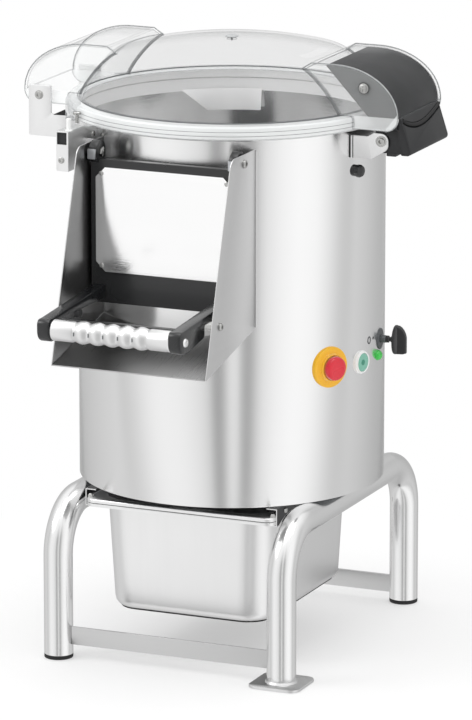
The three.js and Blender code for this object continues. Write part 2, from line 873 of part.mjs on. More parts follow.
function driveBelt() {
  const outer = beltSolid(belt_thickness, belt_height / 2);
  const inner = beltSolid(0, belt_height / 2 + overrun);
  const relief = unite(
    bar('z', pulley_radius - belt_thickness / 2 + fit_gap, 0, pulley_top_z, [0, 0], drum_count),
    bar('z', motor_pulley_radius - belt_thickness / 2 + fit_gap, 0, pulley_top_z, [0, motor_y]),
  );
  return mesh('drive_belt', cut(outer, inner, relief), rubber);
}

function motorPlate() {
  const top = chamber_floor_z - fit_gap;
  const bottom = top - motor_plate_thickness;
  const half = motor_plate_half_width;
  const front = housing_flange_radius + run_gap;
  const slab = block([-half, front, bottom], [half, motor_y + motor_radius, top]);
  const core = drumCore(lining_radius - fit_gap);
  return mesh('motor_plate', slab.intersect(core), dark_steel);
}

function motorBody() {
  const body = bar('z', motor_radius, motor_bottom_z, motor_top_z, [0, motor_y], 2 * round_count);
  const bore_bottom = motor_bottom_z - overrun;
  const bore = bar('z', motor_shaft_radius + run_gap, bore_bottom, motor_bottom_z + motor_shaft_length,
    [0, motor_y]);
  return mesh('motor_body', cut(body, bore), dark_steel);
}

function motorShaft() {
  const top = motor_bottom_z + motor_shaft_length - run_gap;
  const bottom = pulley_mid_z - pulley_height / 2;
  return mesh('motor_shaft', bar('z', motor_shaft_radius, bottom, top, [0, motor_y]), alloy);
}

function drive() {
  return group(
    abrasiveDisc(),
    driveShaft(),
    bearingHousing(),
    pulley('drive_pulley', pulley_radius, shaft_radius + fit_gap, 0, 2 * round_count),
    pulley('motor_pulley', motor_pulley_radius, motor_shaft_radius + fit_gap, motor_y,
      round_count),
    driveBelt(),
    motorPlate(),
    motorBody(),
    motorShaft(),
  );
}

// Discharge chute
function chuteFloorZ(y) {
  const share = (y - chute_front_y) / (chute_lip_reach + chute_rear_reach);
  return chute_lip_z + chute_floor_fall * share;
}

function chuteSide(name, side) {
  const rear = -drum_radius + chute_rear_reach;
  const shape = outline([
    [chute_front_y, chute_lip_z],
    [rear, chuteFloorZ(rear)],
    [rear, chute_top_z],
    [-drum_radius - chute_top_reach, chute_top_z, chute_corner],
  ]);
  const inner = side * chute_inner_x;
  const outer = side * chute_half_width;
  const panel = plate('x', shape, Math.min(inner, outer), Math.max(inner, outer));
  const pivot_hole = bar('x', pivot_radius + fit_gap, -drum_radius, drum_radius,
    [door_axis_y, door_axis_z]);
  const pin_hole = bar('x', pin_shank_radius + fit_gap, -drum_radius, drum_radius, [pin_y, pin_z]);
  return mesh(name, cut(panel, drumCore(), pivot_hole, pin_hole), sheet);
}

function chuteFloor() {
  const rear = -drum_radius + chute_rear_reach;
  const lift = fit_gap;
  const shape = outline([
    [chute_front_y, chute_lip_z + lift],
    [rear, chuteFloorZ(rear) + lift],
    [rear, chuteFloorZ(rear) + lift + chute_sheet],
    [chute_front_y, chute_lip_z + lift + chute_sheet],
  ]);
  const half = chute_inner_x - fit_gap;
  return mesh('chute_floor', cut(plate('x', shape, -half, half), drumCore()), sheet);
}

function doorFrame() {
  const outer_x = opening_half_width + frame_border;
  const low = opening_bottom_z - frame_border;
  const high = opening_top_z + frame_border;
  const rear = -drum_radius + chute_rear_reach;
  const body = block([-outer_x, frame_front_y, low], [outer_x, rear, high]);
  const hole = block(
    [-opening_half_width, frame_front_y - overrun, opening_bottom_z],
    [opening_half_width, rear + overrun, opening_top_z],
  );
  return mesh('door_frame', cut(body, hole, drumCore()), steel);
}

// Door and handle, which swing up about the axis at the chute's top
function doorBody() {
  const slab = block(
    [-door_half_width, door_front_y, door_bottom_z],
    [door_half_width, door_back_y, door_top_z],
  );
  const outer = door_half_width;
  const place = [door_axis_y, door_axis_z];
  const ears = unite(
    bar('x', ear_radius, -outer, -outer + ear_thickness, place),
    bar('x', ear_radius, outer - ear_thickness, outer, place),
  );
  const bore = bar('x', pivot_radius + run_gap, -drum_radius, drum_radius, place);
  return mesh('door_body', cut(unite(slab, ears), bore), black);
}

function doorGasket() {
  const inner_x = opening_half_width + run_gap;
  const outer_x = inner_x + gasket_border;
  const low = opening_bottom_z - run_gap;
  const high = opening_top_z + run_gap;
  const body = block(
    [-outer_x, gasket_back_y - gasket_thickness, low - gasket_border],
    [outer_x, gasket_back_y, high + gasket_border],
  );
  const hole = block(
    [-inner_x, gasket_back_y - gasket_thickness - overrun, low],
    [inner_x, gasket_back_y + overrun, high],
  );
  return mesh('door_gasket', cut(body, hole), rubber);
}

function doorPlate() {
  const x = plate_half_width;
  const inset = plate_half_width - plate_chamfer;
  const shape = outline([
    [-inset, plate_bottom_z], [inset, plate_bottom_z], [x, plate_bottom_z + plate_chamfer],
    [x, plate_top_z - plate_chamfer], [inset, plate_top_z], [-inset, plate_top_z],
    [-x, plate_top_z - plate_chamfer], [-x, plate_bottom_z + plate_chamfer],
  ]);
  return mesh('door_plate', plate('y', shape, plate_back_y - plate_thickness, plate_back_y), polished);
}

// A bolt through a side plate, with its head outside and its shank inwards
function sideBolt(name, side, place, shank_radius, head_radius, head_height, reach) {
  const face = chute_half_width + fit_gap;
  const shank = bar('x', shank_radius, chute_inner_x - reach, face + head_height / 2, place);
  const head = bar('x', head_radius, face, face + head_height, place);
  const bolt = unite(shank, head);
  return mesh(name, side > 0 ? bolt : bolt.mirror([1, 0, 0]), polished);
}

function catchPin(name, side) {
  const place = [pin_y, pin_z];
  const face = chute_half_width + fit_gap;
  const inner = chute_inner_x - fit_gap;
  const shank = bar('x', pin_shank_radius, inner - pin_reach, face + pin_head / 2, place);
  const sleeve = bar('x', pin_radius, inner - pin_reach, inner, place);
  const head = bar('x', pin_head_radius, face, face + pin_head, place);
  const pin = unite(shank, sleeve, head);
  return mesh(name, side > 0 ? pin : pin.mirror([1, 0, 0]), polished);
}

function handleFrame() {
  const root = plate_back_y;
  const arm_shape = outline([
    [grip_y - arm_end_radius, grip_z - arm_end_radius, arm_end_radius],
    [grip_y + arm_end_radius, grip_z - arm_end_radius],
    [arm_notch_y, arm_notch_z],
    [arm_notch_y, arm_root_bottom_z],
    [root, arm_root_bottom_z],
    [root, arm_root_top_z],
    [grip_y, grip_z + arm_top_rise],
    [grip_y - arm_end_radius, grip_z + arm_end_radius, arm_end_radius],
  ]);
  const arms = unite(
    plate('x', arm_shape, arm_inner_x, arm_outer_x),
    plate('x', arm_shape, -arm_outer_x, -arm_inner_x),
  );
  const bar_front = grip_y + grip_radius + grip_swell + bar_gap;
  const cross = block(
    [-arm_outer_x, bar_front, grip_z - handle_bar_height / 2],
    [arm_outer_x, bar_front + handle_bar_thickness, grip_z + handle_bar_height / 2],
  );
  const reach = arm_outer_x + overrun;
  const bores = bar('x', handle_rod_radius + fit_gap, -reach, reach, [grip_y, grip_z]);
  return mesh('handle_frame', cut(unite(arms, cross), bores), black);
}

function gripProfile() {
  const points = [[0, -grip_half_length], [grip_radius, -grip_half_length]];
  const start = -(grip_swell_count * grip_swell_pitch) / 2;
  for (let swell = 0; swell < grip_swell_count; swell += 1) {
    const middle = start + swell * grip_swell_pitch + grip_swell_pitch / 2;
    points.push([grip_radius - grip_swell, middle - grip_swell_pitch / 2]);
    points.push([grip_radius + grip_swell / 2, middle - grip_swell_pitch / 4]);
    points.push([grip_radius + grip_swell, middle]);
    points.push([grip_radius + grip_swell / 2, middle + grip_swell_pitch / 4]);
  }
  points.push([grip_radius - grip_swell, -start]);
  points.push([grip_radius, grip_half_length], [0, grip_half_length]);
  return points;
}

function handleGrip() {
  const body = turned(gripProfile(), round_count);
  const reach = grip_half_length + overrun;
  const bore = bar('z', grip_bore, -reach, reach);
  const piece = mesh('handle_grip', cut(body, bore), alloy);
  piece.rotation.y = Math.PI / 2;
  piece.position.set(0, grip_y, grip_z);
  return piece;
}

function handleRod() {
  const face = arm_outer_x + fit_gap;
  const place = [grip_y, grip_z];
  const end = face + handle_rod_head;
  return mesh('handle_rod', unite(
    bar('x', handle_rod_radius, -face - handle_rod_head / 2, face + handle_rod_head / 2, place),
    bar('x', handle_rod_head_radius, face, end, place),
    bar('x', handle_rod_head_radius, -end, -face, place),
  ), polished);
}

// Lid
function domeProfile(inset, base) {
  const shoulder_z = lid_rim_top_z + dome_shoulder_rise - inset;
  const crown_z = lid_rim_top_z + dome_rise - inset;
  const shoulder = dome_shoulder_radius - inset / 2;
  const foot = dome_foot_radius - inset;
  const points = [[0, base], [foot, base], [foot, lid_rim_top_z]];
  for (let step = 1; step <= dome_shoulder_count; step += 1) {
    const turn = (step / dome_shoulder_count) * (Math.PI / 2);
    const out = (foot - shoulder) * Math.abs(Math.cos(turn)) ** dome_shoulder_bend;
    const lean = (shoulder_z - lid_rim_top_z) * Math.sin(turn) ** dome_shoulder_bend;
    points.push([shoulder + out, lid_rim_top_z + lean]);
  }
  for (let step = 1; step <= dome_crown_count; step += 1) {
    const out_share = 1 - step / dome_crown_count;
    const radius = shoulder * out_share;
    points.push([radius, crown_z - (crown_z - shoulder_z) * out_share * out_share]);
  }
  return points;
}

function earShape(inset) {
  const side_x = ear_reach - inset;
  const flat_z = ear_top_z - inset;
  const shape = new THREE.Shape();
  const inner = ear_tip_slope_x / 2;
  shape.moveTo(inner, ear_base_z);
  shape.lineTo(side_x - ear_corner, ear_base_z);
  shape.absarc(side_x - ear_corner, ear_base_z + ear_corner, ear_corner, -Math.PI / 2, 0, false);
  shape.lineTo(side_x, ear_side_z);
  shape.absellipse(ear_flat_x, ear_side_z, side_x - ear_flat_x, flat_z - ear_side_z, 0, Math.PI / 2);
  shape.lineTo(ear_tip_x, flat_z);
  shape.lineTo(ear_tip_slope_x, flat_z - ear_tip_slope_drop);
  shape.lineTo(inner, flat_z - ear_tip_slope_drop);
  shape.closePath();
  return shape;
}

function lidEar() {
  const half = cheek_half_width;
  const inner = half - ear_wall;
  const body = plate('y', earShape(0), -half, half);
  const hollow = plate('y', earShape(ear_wall), -inner, inner);
  const mouth = block(
    [0, -inner, ear_base_z - overrun],
    [ear_reach + overrun, inner, ear_base_z + ear_corner],
  );
  return cut(body, hollow, mouth);
}

function lidDome() {
  const web_bottom = lid_rim_top_z - lid_web_thickness;
  const rim_middle = lid_rim_radius - lid_rim_wall / 2;
  const skirt_inner = lid_rim_radius - lid_rim_wall;
  const skirt = ring(lid_rim_radius, skirt_inner, lid_rim_bottom_z, lid_rim_top_z);
  const web = bar('z', rim_middle, web_bottom, lid_rim_top_z, [0, 0], drum_count);
  const dome = turned(domeProfile(0, web_bottom));
  const hollow = turned(domeProfile(dome_wall, web_bottom - overrun));
  const rim_room = bar('z', rim_middle, ear_base_z - overrun, lid_rim_top_z, [0, 0], drum_count);
  const ear = lidEar();
  const ears = cut(unite(ear, ear.mirror([1, 0, 0])), rim_room);
  const crown = lid_rim_top_z + dome_rise;
  const plug_hole = bar('z', lid_plug_neck + fit_gap, crown - 2 * overrun, crown + overrun);
  return mesh('lid_dome', cut(unite(skirt, web, dome, ears), hollow, plug_hole), clear);
}

function lidSeal() {
  const top = lid_rim_top_z - lid_web_thickness - fit_gap;
  const bottom = drum_top_z + fit_gap;
  const inner = lid_seal_outer - lid_seal_width;
  return mesh('lid_seal', ring(lid_seal_outer, inner, bottom, top), pale_rubber);
}

function lidPlug() {
  const crown = lid_rim_top_z + dome_rise;
  const cap = bar('z', lid_plug_radius, crown + fit_gap, crown + fit_gap + lid_plug_cap);
  const neck = bar('z', lid_plug_neck, crown - dome_wall - lid_plug_cap, crown + lid_plug_cap / 2);
  return mesh('lid_plug', unite(cap, neck), rubber);
}

// Lid hinge
function hingeBlock() {
  const inset = ear_wall + fit_gap;
  const flat_z = ear_top_z - inset;
  const side_x = ear_reach - inset;
  const upper_shape = new THREE.Shape();
  upper_shape.moveTo(ear_flat_x, flat_z);
  upper_shape.lineTo(block_lean_x, block_lean_z);
  upper_shape.lineTo(block_foot_x, block_shoulder_z);
  upper_shape.lineTo(side_x, block_shoulder_z);
  upper_shape.lineTo(side_x, ear_side_z);
  upper_shape.absellipse(ear_flat_x, ear_side_z, side_x - ear_flat_x, flat_z - ear_side_z,
    0, Math.PI / 2);
  upper_shape.closePath();
  const wide = cheek_half_width - ear_wall - fit_gap;
  const upper = plate('y', upper_shape, -wide, wide);
  const neck = block(
    [block_foot_x, -block_neck_half_width, block_bottom_z],
    [block_plate_inner_x + run_gap, block_neck_half_width, block_shoulder_z + run_gap],
  );
  const plate_shape = outline([
    [block_plate_inner_x, block_bottom_z],
    [block_plate_outer_x, block_bottom_z],
    [ear_reach + fit_gap, ear_base_z + ear_corner - fit_gap],
    [side_x - ear_wall, ear_base_z + ear_corner - fit_gap],
    [side_x - ear_wall, block_shoulder_z],
  ]);
  const half = block_plate_half_width;
  const outer_plate = plate('y', plate_shape, -half, half);
  const bore = bar('y', hinge_pin_radius + run_gap, -wide - overrun, wide + overrun,
    [hinge_x, hinge_z]);
  return mesh('hinge_block', cut(unite(upper, neck, outer_plate), bore), black);
}

function hingeBracket(name, side) {
  const inner_y = block_neck_half_width + 2 * run_gap;
  const outer_y = inner_y + bracket_sheet;
  const nose_top = hinge_z + bracket_nose_radius;
  const nose_bottom = hinge_z - bracket_nose_radius;
  const nose_x = hinge_x + bracket_nose_radius;
  const shape = outline([
    [drum_radius / 2, bracket_bottom_z],
    [bracket_heel_x, bracket_bottom_z],
    [nose_x, nose_bottom, bracket_nose_radius],
    [nose_x, nose_top, bracket_nose_radius],
    [hinge_x - bracket_nose_radius, nose_top],
    [bracket_step_x, bracket_top_z],
    [drum_radius / 2, bracket_top_z],
  ]);
  const low = side > 0 ? inner_y : -outer_y;
  const web = plate('y', shape, low, low + bracket_sheet);
  const hole = bar('y', hinge_pin_radius + fit_gap, -drum_radius, drum_radius, [hinge_x, hinge_z]);
  return mesh(name, cut(web, hole, drumCore()), sheet);
}

function hingePin() {
  const end = block_neck_half_width + 2 * run_gap + bracket_sheet + fit_gap;
  const place = [hinge_x, hinge_z];
  const heads = unite(
    bar('y', hinge_pin_head_radius, end, end + hinge_pin_head, place),
    bar('y', hinge_pin_head_radius, -end - hinge_pin_head, -end, place),
  );
  const body = bar('y', hinge_pin_radius, -end - hinge_pin_head / 2, end + hinge_pin_head / 2, place);
  return mesh('hinge_pin', unite(heads, body), polished);
}

function lidStop() {
  const body = bar('y', stop_radius, -skin_radius - stop_length, -skin_radius + stop_radius / 2);
  const round = skinCore(stop_angle, stop_z);
  return onDrum(stop_angle, stop_z, mesh('lid_stop', cut(body, round), rubber));
}

// Strap on the left ear, and the switch beside the chute
function latchStrap() {
  const near = cheek_half_width + fit_gap;
  const shape = outline([
    [-strap_outer_x, strap_bottom_z], [-strap_foot_x, strap_bottom_z],
    [-strap_foot_x, strap_foot_top_z], [-strap_upright_x, strap_foot_top_z],
    [-strap_upright_x, strap_top_z], [-strap_outer_x, strap_top_z],
  ]);
  const sides = unite(
    plate('y', shape, near, near + strap_sheet),
    plate('y', shape, -near - strap_sheet, -near),
  );
  const base = block(
    [-strap_outer_x, -near - strap_sheet, strap_bottom_z],
    [-strap_base_x, near + strap_sheet, strap_bottom_z + strap_sheet],
  );
  return mesh('latch_strap', unite(sides, base), sheet);
}

function switchBracket() {
  const face = block(
    [-switch_left_x, switch_front_y, switch_bottom_z],
    [-switch_right_x, switch_front_y + switch_sheet, switch_top_z],
  );
  const web = block(
    [-switch_right_x - switch_sheet, switch_front_y, switch_bottom_z],
    [-switch_right_x, switch_rear_y, switch_web_top_z],
  );
  const tab = block(
    [-switch_right_x - switch_sheet, switch_rear_y - switch_sheet, switch_bottom_z],
    [-chute_half_width - fit_gap, switch_rear_y, chute_top_z],
  );
  const window_top = switch_top_z - window_margin;
  const window = block(
    [-switch_left_x - overrun, switch_front_y - overrun, window_top - window_height],
    [-switch_right_x - 2 * window_margin, switch_front_y + switch_sheet + overrun, window_top],
  );
  return mesh('switch_bracket', cut(unite(face, web, tab), window), sheet);
}

function switchSensor() {
  const right = -switch_right_x - switch_sheet - fit_gap;
  const front = switch_front_y + switch_sheet + sensor_clear;
  const top = switch_web_top_z;
  const body = block(
    [-switch_left_x, front, top - 2 * window_height],
    [right, front + sensor_depth, top],
  );
  return mesh('switch_sensor', body, black);
}

// Controls
function stopButtonBase() {
  const face = skin_radius + stop_base_proud;
  const rim = bar('y', stop_base_radius, -face, -drum_radius + stop_base_proud, [0, 0],
    2 * round_count);
  const collar = bar('y', stop_collar_radius, -face - stop_collar_proud + stop_base_proud,
    -drum_radius, [0, 0], 2 * round_count);
  const round = skinCore(stop_button_angle, stop_button_z);
  const neck = bar('y', neck_radius, -skin_radius - stop_base_proud / 2, -drum_radius + neck_length);
  const bore = bar('y', stop_stem_radius + run_gap, -face - overrun, 0);
  const well_radius = stop_collar_radius - stop_collar_wall;
  const well = bar('y', well_radius, -face - overrun - stop_collar_proud, -face, [0, 0],
    2 * round_count);
  const outer = cut(unite(rim, collar), round);
  return mesh('stop_button_base', cut(unite(outer, neck), bore, well), yellow);
}

function stopButtonHead() {
  const face = -skin_radius - stop_base_proud - stop_head_gap;
  const cap = turned([
    [0, 0], [stop_head_radius, 0], [stop_head_radius, stop_head_height / 2],
    [stop_head_radius * stop_edge_radius_share, stop_head_height * stop_edge_height_share],
    [0, stop_head_height],
  ], 2 * round_count).rotate([90, 0, 0]).translate([0, face, 0]);
  const stem = bar('y', stop_stem_radius, face - stop_head_height / 4, -drum_radius + neck_length / 2);
  return mesh('stop_button_head', unite(cap, stem), red);
}

function startBezel() {
  const face = skin_radius + bezel_height;
  const body = bar('y', bezel_radius, -face, -drum_radius + bezel_height / 2, [0, 0],
    2 * round_count);
  const round = skinCore(start_angle, start_z);
  const neck = bar('y', neck_radius, -skin_radius - bezel_height / 4, -drum_radius + neck_length);
  const well_floor = -face + button_height + button_travel + 2 * run_gap;
  const well = bar('y', button_radius + fit_gap, -face - overrun, well_floor, [0, 0], 2 * round_count);
  const bore = bar('y', button_stem_radius + fit_gap, -face, 0);
  return mesh('start_bezel', cut(unite(cut(body, round), neck), well, bore), white);
}

function startButton() {
  const face = -skin_radius - bezel_height + run_gap;
  const cap = bar('y', button_radius, face, face + button_height, [0, 0], 2 * round_count);
  const stem_end = -drum_radius + neck_length - button_travel - run_gap;
  const stem = bar('y', button_stem_radius, face + button_height / 2, stem_end);
  return mesh('start_button', unite(cap, stem), green);
}

function runLamp() {
  const face = -skin_radius - lamp_flange;
  const flange = bar('y', lamp_radius, face, -drum_radius + lamp_flange);
  const round = skinCore(lamp_angle, lamp_z);
  const neck = bar('y', lamp_neck_radius, face, -drum_radius + neck_length);
  const crown = lamp_dome_shares.map(([out, up]) => [lamp_radius * out, lamp_radius * up]);
  const dome = turned([[0, 0], ...crown], round_count).rotate([90, 0, 0]).translate([0, face, 0]);
  return mesh('run_lamp', unite(cut(flange, round), neck, dome), lamp_green);
}

function timerDial() {
  const face = -skin_radius - dial_thickness;
  const disc = bar('y', dial_radius, face, -drum_radius + dial_thickness, [0, 0], 2 * round_count);
  const round = skinCore(timer_angle, timer_z);
  const bore = bar('y', timer_neck_radius + fit_gap, face - overrun, 0);
  return mesh('timer_dial', cut(disc, round, bore), black);
}

function timerBody() {
  const half = timer_body_size / 2;
  const start = -drum_radius + neck_length;
  const body = block([-half, start, -half], [half, start + block_depth, half]);
  const face = -skin_radius - dial_thickness - timer_neck_radius;
  const neck = bar('y', timer_neck_radius, face, start + overrun);
  const bore = bar('y', knob_shaft_radius + fit_gap, face - overrun, start);
  return mesh('timer_body', cut(unite(body, neck), bore), cast);
}

function timerKnob() {
  const back = -skin_radius - dial_thickness - knob_gap;
  const skirt = bar('y', knob_skirt_radius, back - knob_skirt_height, back, [0, 0], 2 * round_count);
  const half = knob_grip_width / 2;
  const reach = Math.sqrt(knob_skirt_radius ** 2 - half ** 2);
  const rib = block(
    [-half, back - knob_skirt_height - knob_grip_height, -reach],
    [half, back - knob_skirt_height / 2, reach],
  );
  const shaft = bar('y', knob_shaft_radius, back - knob_skirt_height / 2, -drum_radius);
  return mesh('timer_knob', unite(skirt, rib, shaft), black);
}

function controls() {
  return group(
    onDrum(stop_button_angle, stop_button_z, stopButtonBase(), stopButtonHead()),
    onDrum(start_angle, start_z, startBezel(), startButton()),
    onDrum(lamp_angle, lamp_z, runLamp()),
    onDrum(timer_angle, timer_z, timerDial(), timerBody(), timerKnob()),
  );
}

// Rear services
function cableGland() {
  const flange = bar('y', gland_radius, -skin_radius - gland_length, -drum_radius + gland_radius);
  const round = skinCore(gland_angle, gland_z);
  const thread = bar('y', gland_thread_radius, -skin_radius - gland_length / 2,
    -drum_radius + neck_length);
  const bore = bar('y', gland_bore, -skin_radius - gland_length - overrun, 0);
  const gland = cut(unite(cut(flange, round), thread), bore);
  return onDrum(gland_angle, gland_z, mesh('cable_gland', gland, black));
}

function waterInlet() {
  const flange = bar('y', inlet_flange_radius, -skin_radius - inlet_flange,
    -drum_radius + inlet_flange);
  const round = skinCore(inlet_angle, inlet_z);
  const pipe = bar('y', inlet_radius, -skin_radius - inlet_length, -drum_radius + liner_thickness);
  const bore = bar('y', inlet_bore, -skin_radius - inlet_length - overrun, 0);
  const inlet = cut(unite(cut(flange, round), pipe), bore);
  return onDrum(inlet_angle, inlet_z, mesh('water_inlet', inlet, polished));
}

function stand() {
  const cap_top = cap_height + fit_gap;
  return group(
    legFrame('leg_frame_left', -1, cap_top, cap_top),
    legFrame('leg_frame_right', 1, foot_plate_thickness + fit_gap, cap_top),
    crossBar('front_cross_bar', stand_front_y, front_bar_z),
    crossBar('rear_cross_bar', stand_rear_y, rear_bar_z),
    footCap('foot_cap_front_left', -1, stand_front_y),
    footCap('foot_cap_rear_left', -1, stand_rear_y),
    footCap('foot_cap_rear_right', 1, stand_rear_y),
    footPlate('foot_plate', 1, stand_front_y),
    panRail('pan_rail_left', -1),
    panRail('pan_rail_right', 1),
  );
}

function drum() {
  return group(
    drumShell(),
    basePlate(),
    chamberFloor(),
    wasteDuct(),
    abrasiveLiner(),
    doorFrame(),
    chuteSide('chute_side_left', -1),
    chuteSide('chute_side_right', 1),
    chuteFloor(),
    cableGland(),
    waterInlet(),
  );
}

function door() {
  const pivot = [door_axis_y, door_axis_z];
  const bolt = [pivot, pivot_radius, pivot_head_radius, pivot_head_height, ear_thickness];
  return group(
    doorBody(),
    doorGasket(),
    doorPlate(),
    sideBolt('door_pivot_left', -1, ...bolt),
    sideBolt('door_pivot_right', 1, ...bolt),
    catchPin('catch_pin_left', -1),
    catchPin('catch_pin_right', 1),
    handleFrame(),
    handleGrip(),
    handleRod(),
  );
}

function lid() {
  return group(
    lidDome(),
    lidSeal(),
    lidPlug(),
    hingeBlock(),
    hingeBracket('hinge_bracket_front', -1),
    hingeBracket('hinge_bracket_rear', 1),
    hingePin(),
    lidStop(),
    latchStrap(),
    switchBracket(),
    switchSensor(),
  );
}

// The origin is the middle of the machine's outline, at the height of the floor.
function onOrigin(machine) {
  const outline = new THREE.Box3().setFromObject(machine, true);
  const middle = outline.getCenter(new THREE.Vector3());
  machine.position.set(-middle.x, -middle.y, -outline.min.z);
  return machine;
}

const peeler = group(
  onOrigin(group(stand(), wastePan(), drum(), drive(), door(), lid(), controls())),
);
peeler.name = 'potato_peeler';

export default peeler;
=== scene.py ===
# Electric potato peeler: its looks, the camera and the studio
import json
import math
import bmesh
import bpy
from mathutils import Matrix, Vector

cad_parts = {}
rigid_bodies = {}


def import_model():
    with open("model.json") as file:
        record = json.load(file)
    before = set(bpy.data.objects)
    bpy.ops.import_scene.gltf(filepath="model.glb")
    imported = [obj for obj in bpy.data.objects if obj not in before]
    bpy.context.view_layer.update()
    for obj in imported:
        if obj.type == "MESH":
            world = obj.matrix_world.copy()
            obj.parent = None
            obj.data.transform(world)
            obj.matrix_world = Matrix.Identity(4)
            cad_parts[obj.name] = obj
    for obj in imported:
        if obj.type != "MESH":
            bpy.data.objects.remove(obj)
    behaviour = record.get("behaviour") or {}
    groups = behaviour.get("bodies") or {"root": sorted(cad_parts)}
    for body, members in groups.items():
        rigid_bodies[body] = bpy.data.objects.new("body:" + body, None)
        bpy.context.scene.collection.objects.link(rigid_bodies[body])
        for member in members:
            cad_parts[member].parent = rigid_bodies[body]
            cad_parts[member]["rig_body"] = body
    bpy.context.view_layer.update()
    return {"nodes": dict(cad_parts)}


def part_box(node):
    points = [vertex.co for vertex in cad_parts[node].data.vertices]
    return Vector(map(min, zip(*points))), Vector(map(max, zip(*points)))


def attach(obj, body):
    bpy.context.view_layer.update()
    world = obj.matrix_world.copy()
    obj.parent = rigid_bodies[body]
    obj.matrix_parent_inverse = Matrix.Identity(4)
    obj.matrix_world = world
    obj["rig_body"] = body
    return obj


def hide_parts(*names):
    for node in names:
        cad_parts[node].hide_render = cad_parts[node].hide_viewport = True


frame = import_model()

# Shapes are in millimetres from the drum's axis at the floor, and the scene is in metres
MM = 0.001
shell_low, shell_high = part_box("drum_shell")
AXIS = (shell_low + shell_high) / 2 * Vector((1, 1, 0))


def span(node):
    return [(corner - AXIS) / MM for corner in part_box(node)]


def centre(node):
    low, high = span(node)
    return (low + high) / 2


def half(node):
    low, high = span(node)
    return (high - low) / 2


def reach_of(node):
    """How near to the middle and how far from it a side piece reaches."""
    low, high = span(node)
    return sorted((abs(low.x), abs(high.x)))


# Driving sizes that the frame's boxes don't give
DRUM_STEPS = 192
ROUND_STEPS = 160
LID_STEPS = 144
INNER_STEPS = 128
DIAL_STEPS = 96
CAST_STEPS = 64
SMALL_STEPS = 48
HOLE_STEPS = 24
BEAD_STEPS = 12
ARC_STEPS = 8
WELD_GAP = 0.3
CAP_HEIGHT = 5.0
TUBE_WALL = 1.6
BEND_RADIUS = 65.0
DRUM_WALL = 2.0
DRUM_BEAD = 3.5
LIGHT_BAND_HEIGHT = 16.0
LID_WALL = 3.0
DOME_BEND = 1.65
EAR_TIP = 129.0
EAR_HALF = 75.0
STOP_ANGLE = 62.0
START_ANGLE = 79.0
LAMP_ANGLE = 94.5
TIMER_ANGLE = 98.0
BUFFER_ANGLE = 74.5
GUARD_ANGLE = 203.5
GLAND_ANGLE = 190.0
INLET_ANGLE = 172.0
GRIP_RADIUS = 13.5
SWELL_PITCH = 20.0
RIM_RISE = 15.0
RIM_HEIGHT = 19.0
DOME_HEIGHT = 76.0

drum_low, drum_high = span("drum_shell")
DRUM_RADIUS = drum_high.x - DRUM_BEAD
DRUM_BORE = DRUM_RADIUS - DRUM_WALL
DRUM_BOTTOM = drum_low.z
DRUM_TOP = drum_high.z
RIM_TOP = DRUM_TOP + RIM_RISE
RIM_BOTTOM = RIM_TOP - RIM_HEIGHT
CROWN = RIM_TOP + DOME_HEIGHT
EAR_TOP = CROWN - 10.0
EAR_SIDE = -span("lid_dome")[0].x
EAR_FLAT = EAR_SIDE - 86.0
EAR_BASE = RIM_TOP - 16.0
door_low, door_high = span("door_body")
plate_low, plate_high = span("door_plate")
chute_low, chute_high = span("chute_side_right")
CHUTE_REAR = -math.sqrt(DRUM_RADIUS ** 2 - chute_high.x ** 2)
PIVOT = centre("door_pivot_right")
PIN = centre("catch_pin_right")
GRIP = centre("handle_grip")
HINGE = centre("hinge_pin")
BRACKET_FOOT = HINGE.z - 24.0
BRACKET_TOP = HINGE.z + 5.0
RIGHT, LEFT, BACK, FRONT = (1, 0, 0), (-1, 0, 0), (0, 1, 0), (0, -1, 0)


# Shapes: each is a list of points and a list of faces
def harvest(net):
    net.verts.index_update()
    points = [tuple(v.co) for v in net.verts]
    faces = [[v.index for v in f.verts] for f in net.faces]
    net.free()
    return points, faces


def joined(*shapes):
    points, faces = [], []
    for more_points, more_faces in shapes:
        start = len(points)
        points += more_points
        faces += [[start + i for i in f] for f in more_faces]
    return points, faces


def moved(shape, matrix):
    points, faces = shape
    return [tuple(matrix @ Vector(p)) for p in points], faces


def shifted(shape, x=0.0, y=0.0, z=0.0):
    return moved(shape, Matrix.Translation((x, y, z)))


def mirrored(shape):
    return moved(shape, Matrix.Scale(-1, 4, (1, 0, 0)))


def flipped(shape):
    return moved(shape, Matrix.Scale(-1, 4, (0, 0, 1)))


def pair(shape):
    """The shape as it is on the right, and its mirror image for the left."""
    return shape, mirrored(shape)


def facing(shape, out, place=(0, 0, 0)):
    """Turns a shape built along Z so that it runs in a level direction, with its Y up."""
    out, up = Vector(out), Vector((0, 0, 1))
    turn = Matrix((up.cross(out), up, out)).transposed().to_4x4()
    return moved(shape, Matrix.Translation(place) @ turn)


def on_drum(shape, angle, height):
    """Places a shape built along Z, from the drum's axis outwards, at an angle round from the front."""
    turn = math.radians(angle)
    return facing(shape, (math.sin(turn), -math.cos(turn), 0), (0, 0, height))


def lathe(profile, steps=ROUND_STEPS):
    """A turned shape from (radius, height) points. It closes on itself unless it ends on the axis."""
    points, rings, faces = [], [], []
    for radius, height in profile:
        count = steps if radius > 0 else 1
        rings.append(list(range(len(points), len(points) + count)))
        for turn in [2 * math.pi * step / steps for step in range(count)]:
            points.append((radius * math.cos(turn), radius * math.sin(turn), height))
    pairs = list(zip(rings, rings[1:]))
    if len(rings[0]) > 1 and len(rings[-1]) > 1:
        pairs.append((rings[-1], rings[0]))
    for below, above in pairs:
        for step in range(steps):
            after = (step + 1) % steps
            corners = [below[step % len(below)], below[after % len(below)],
                       above[after % len(above)], above[step % len(above)]]
            corners = list(dict.fromkeys(corners))
            if len(corners) > 2:
                faces.append(corners)
    return points, faces


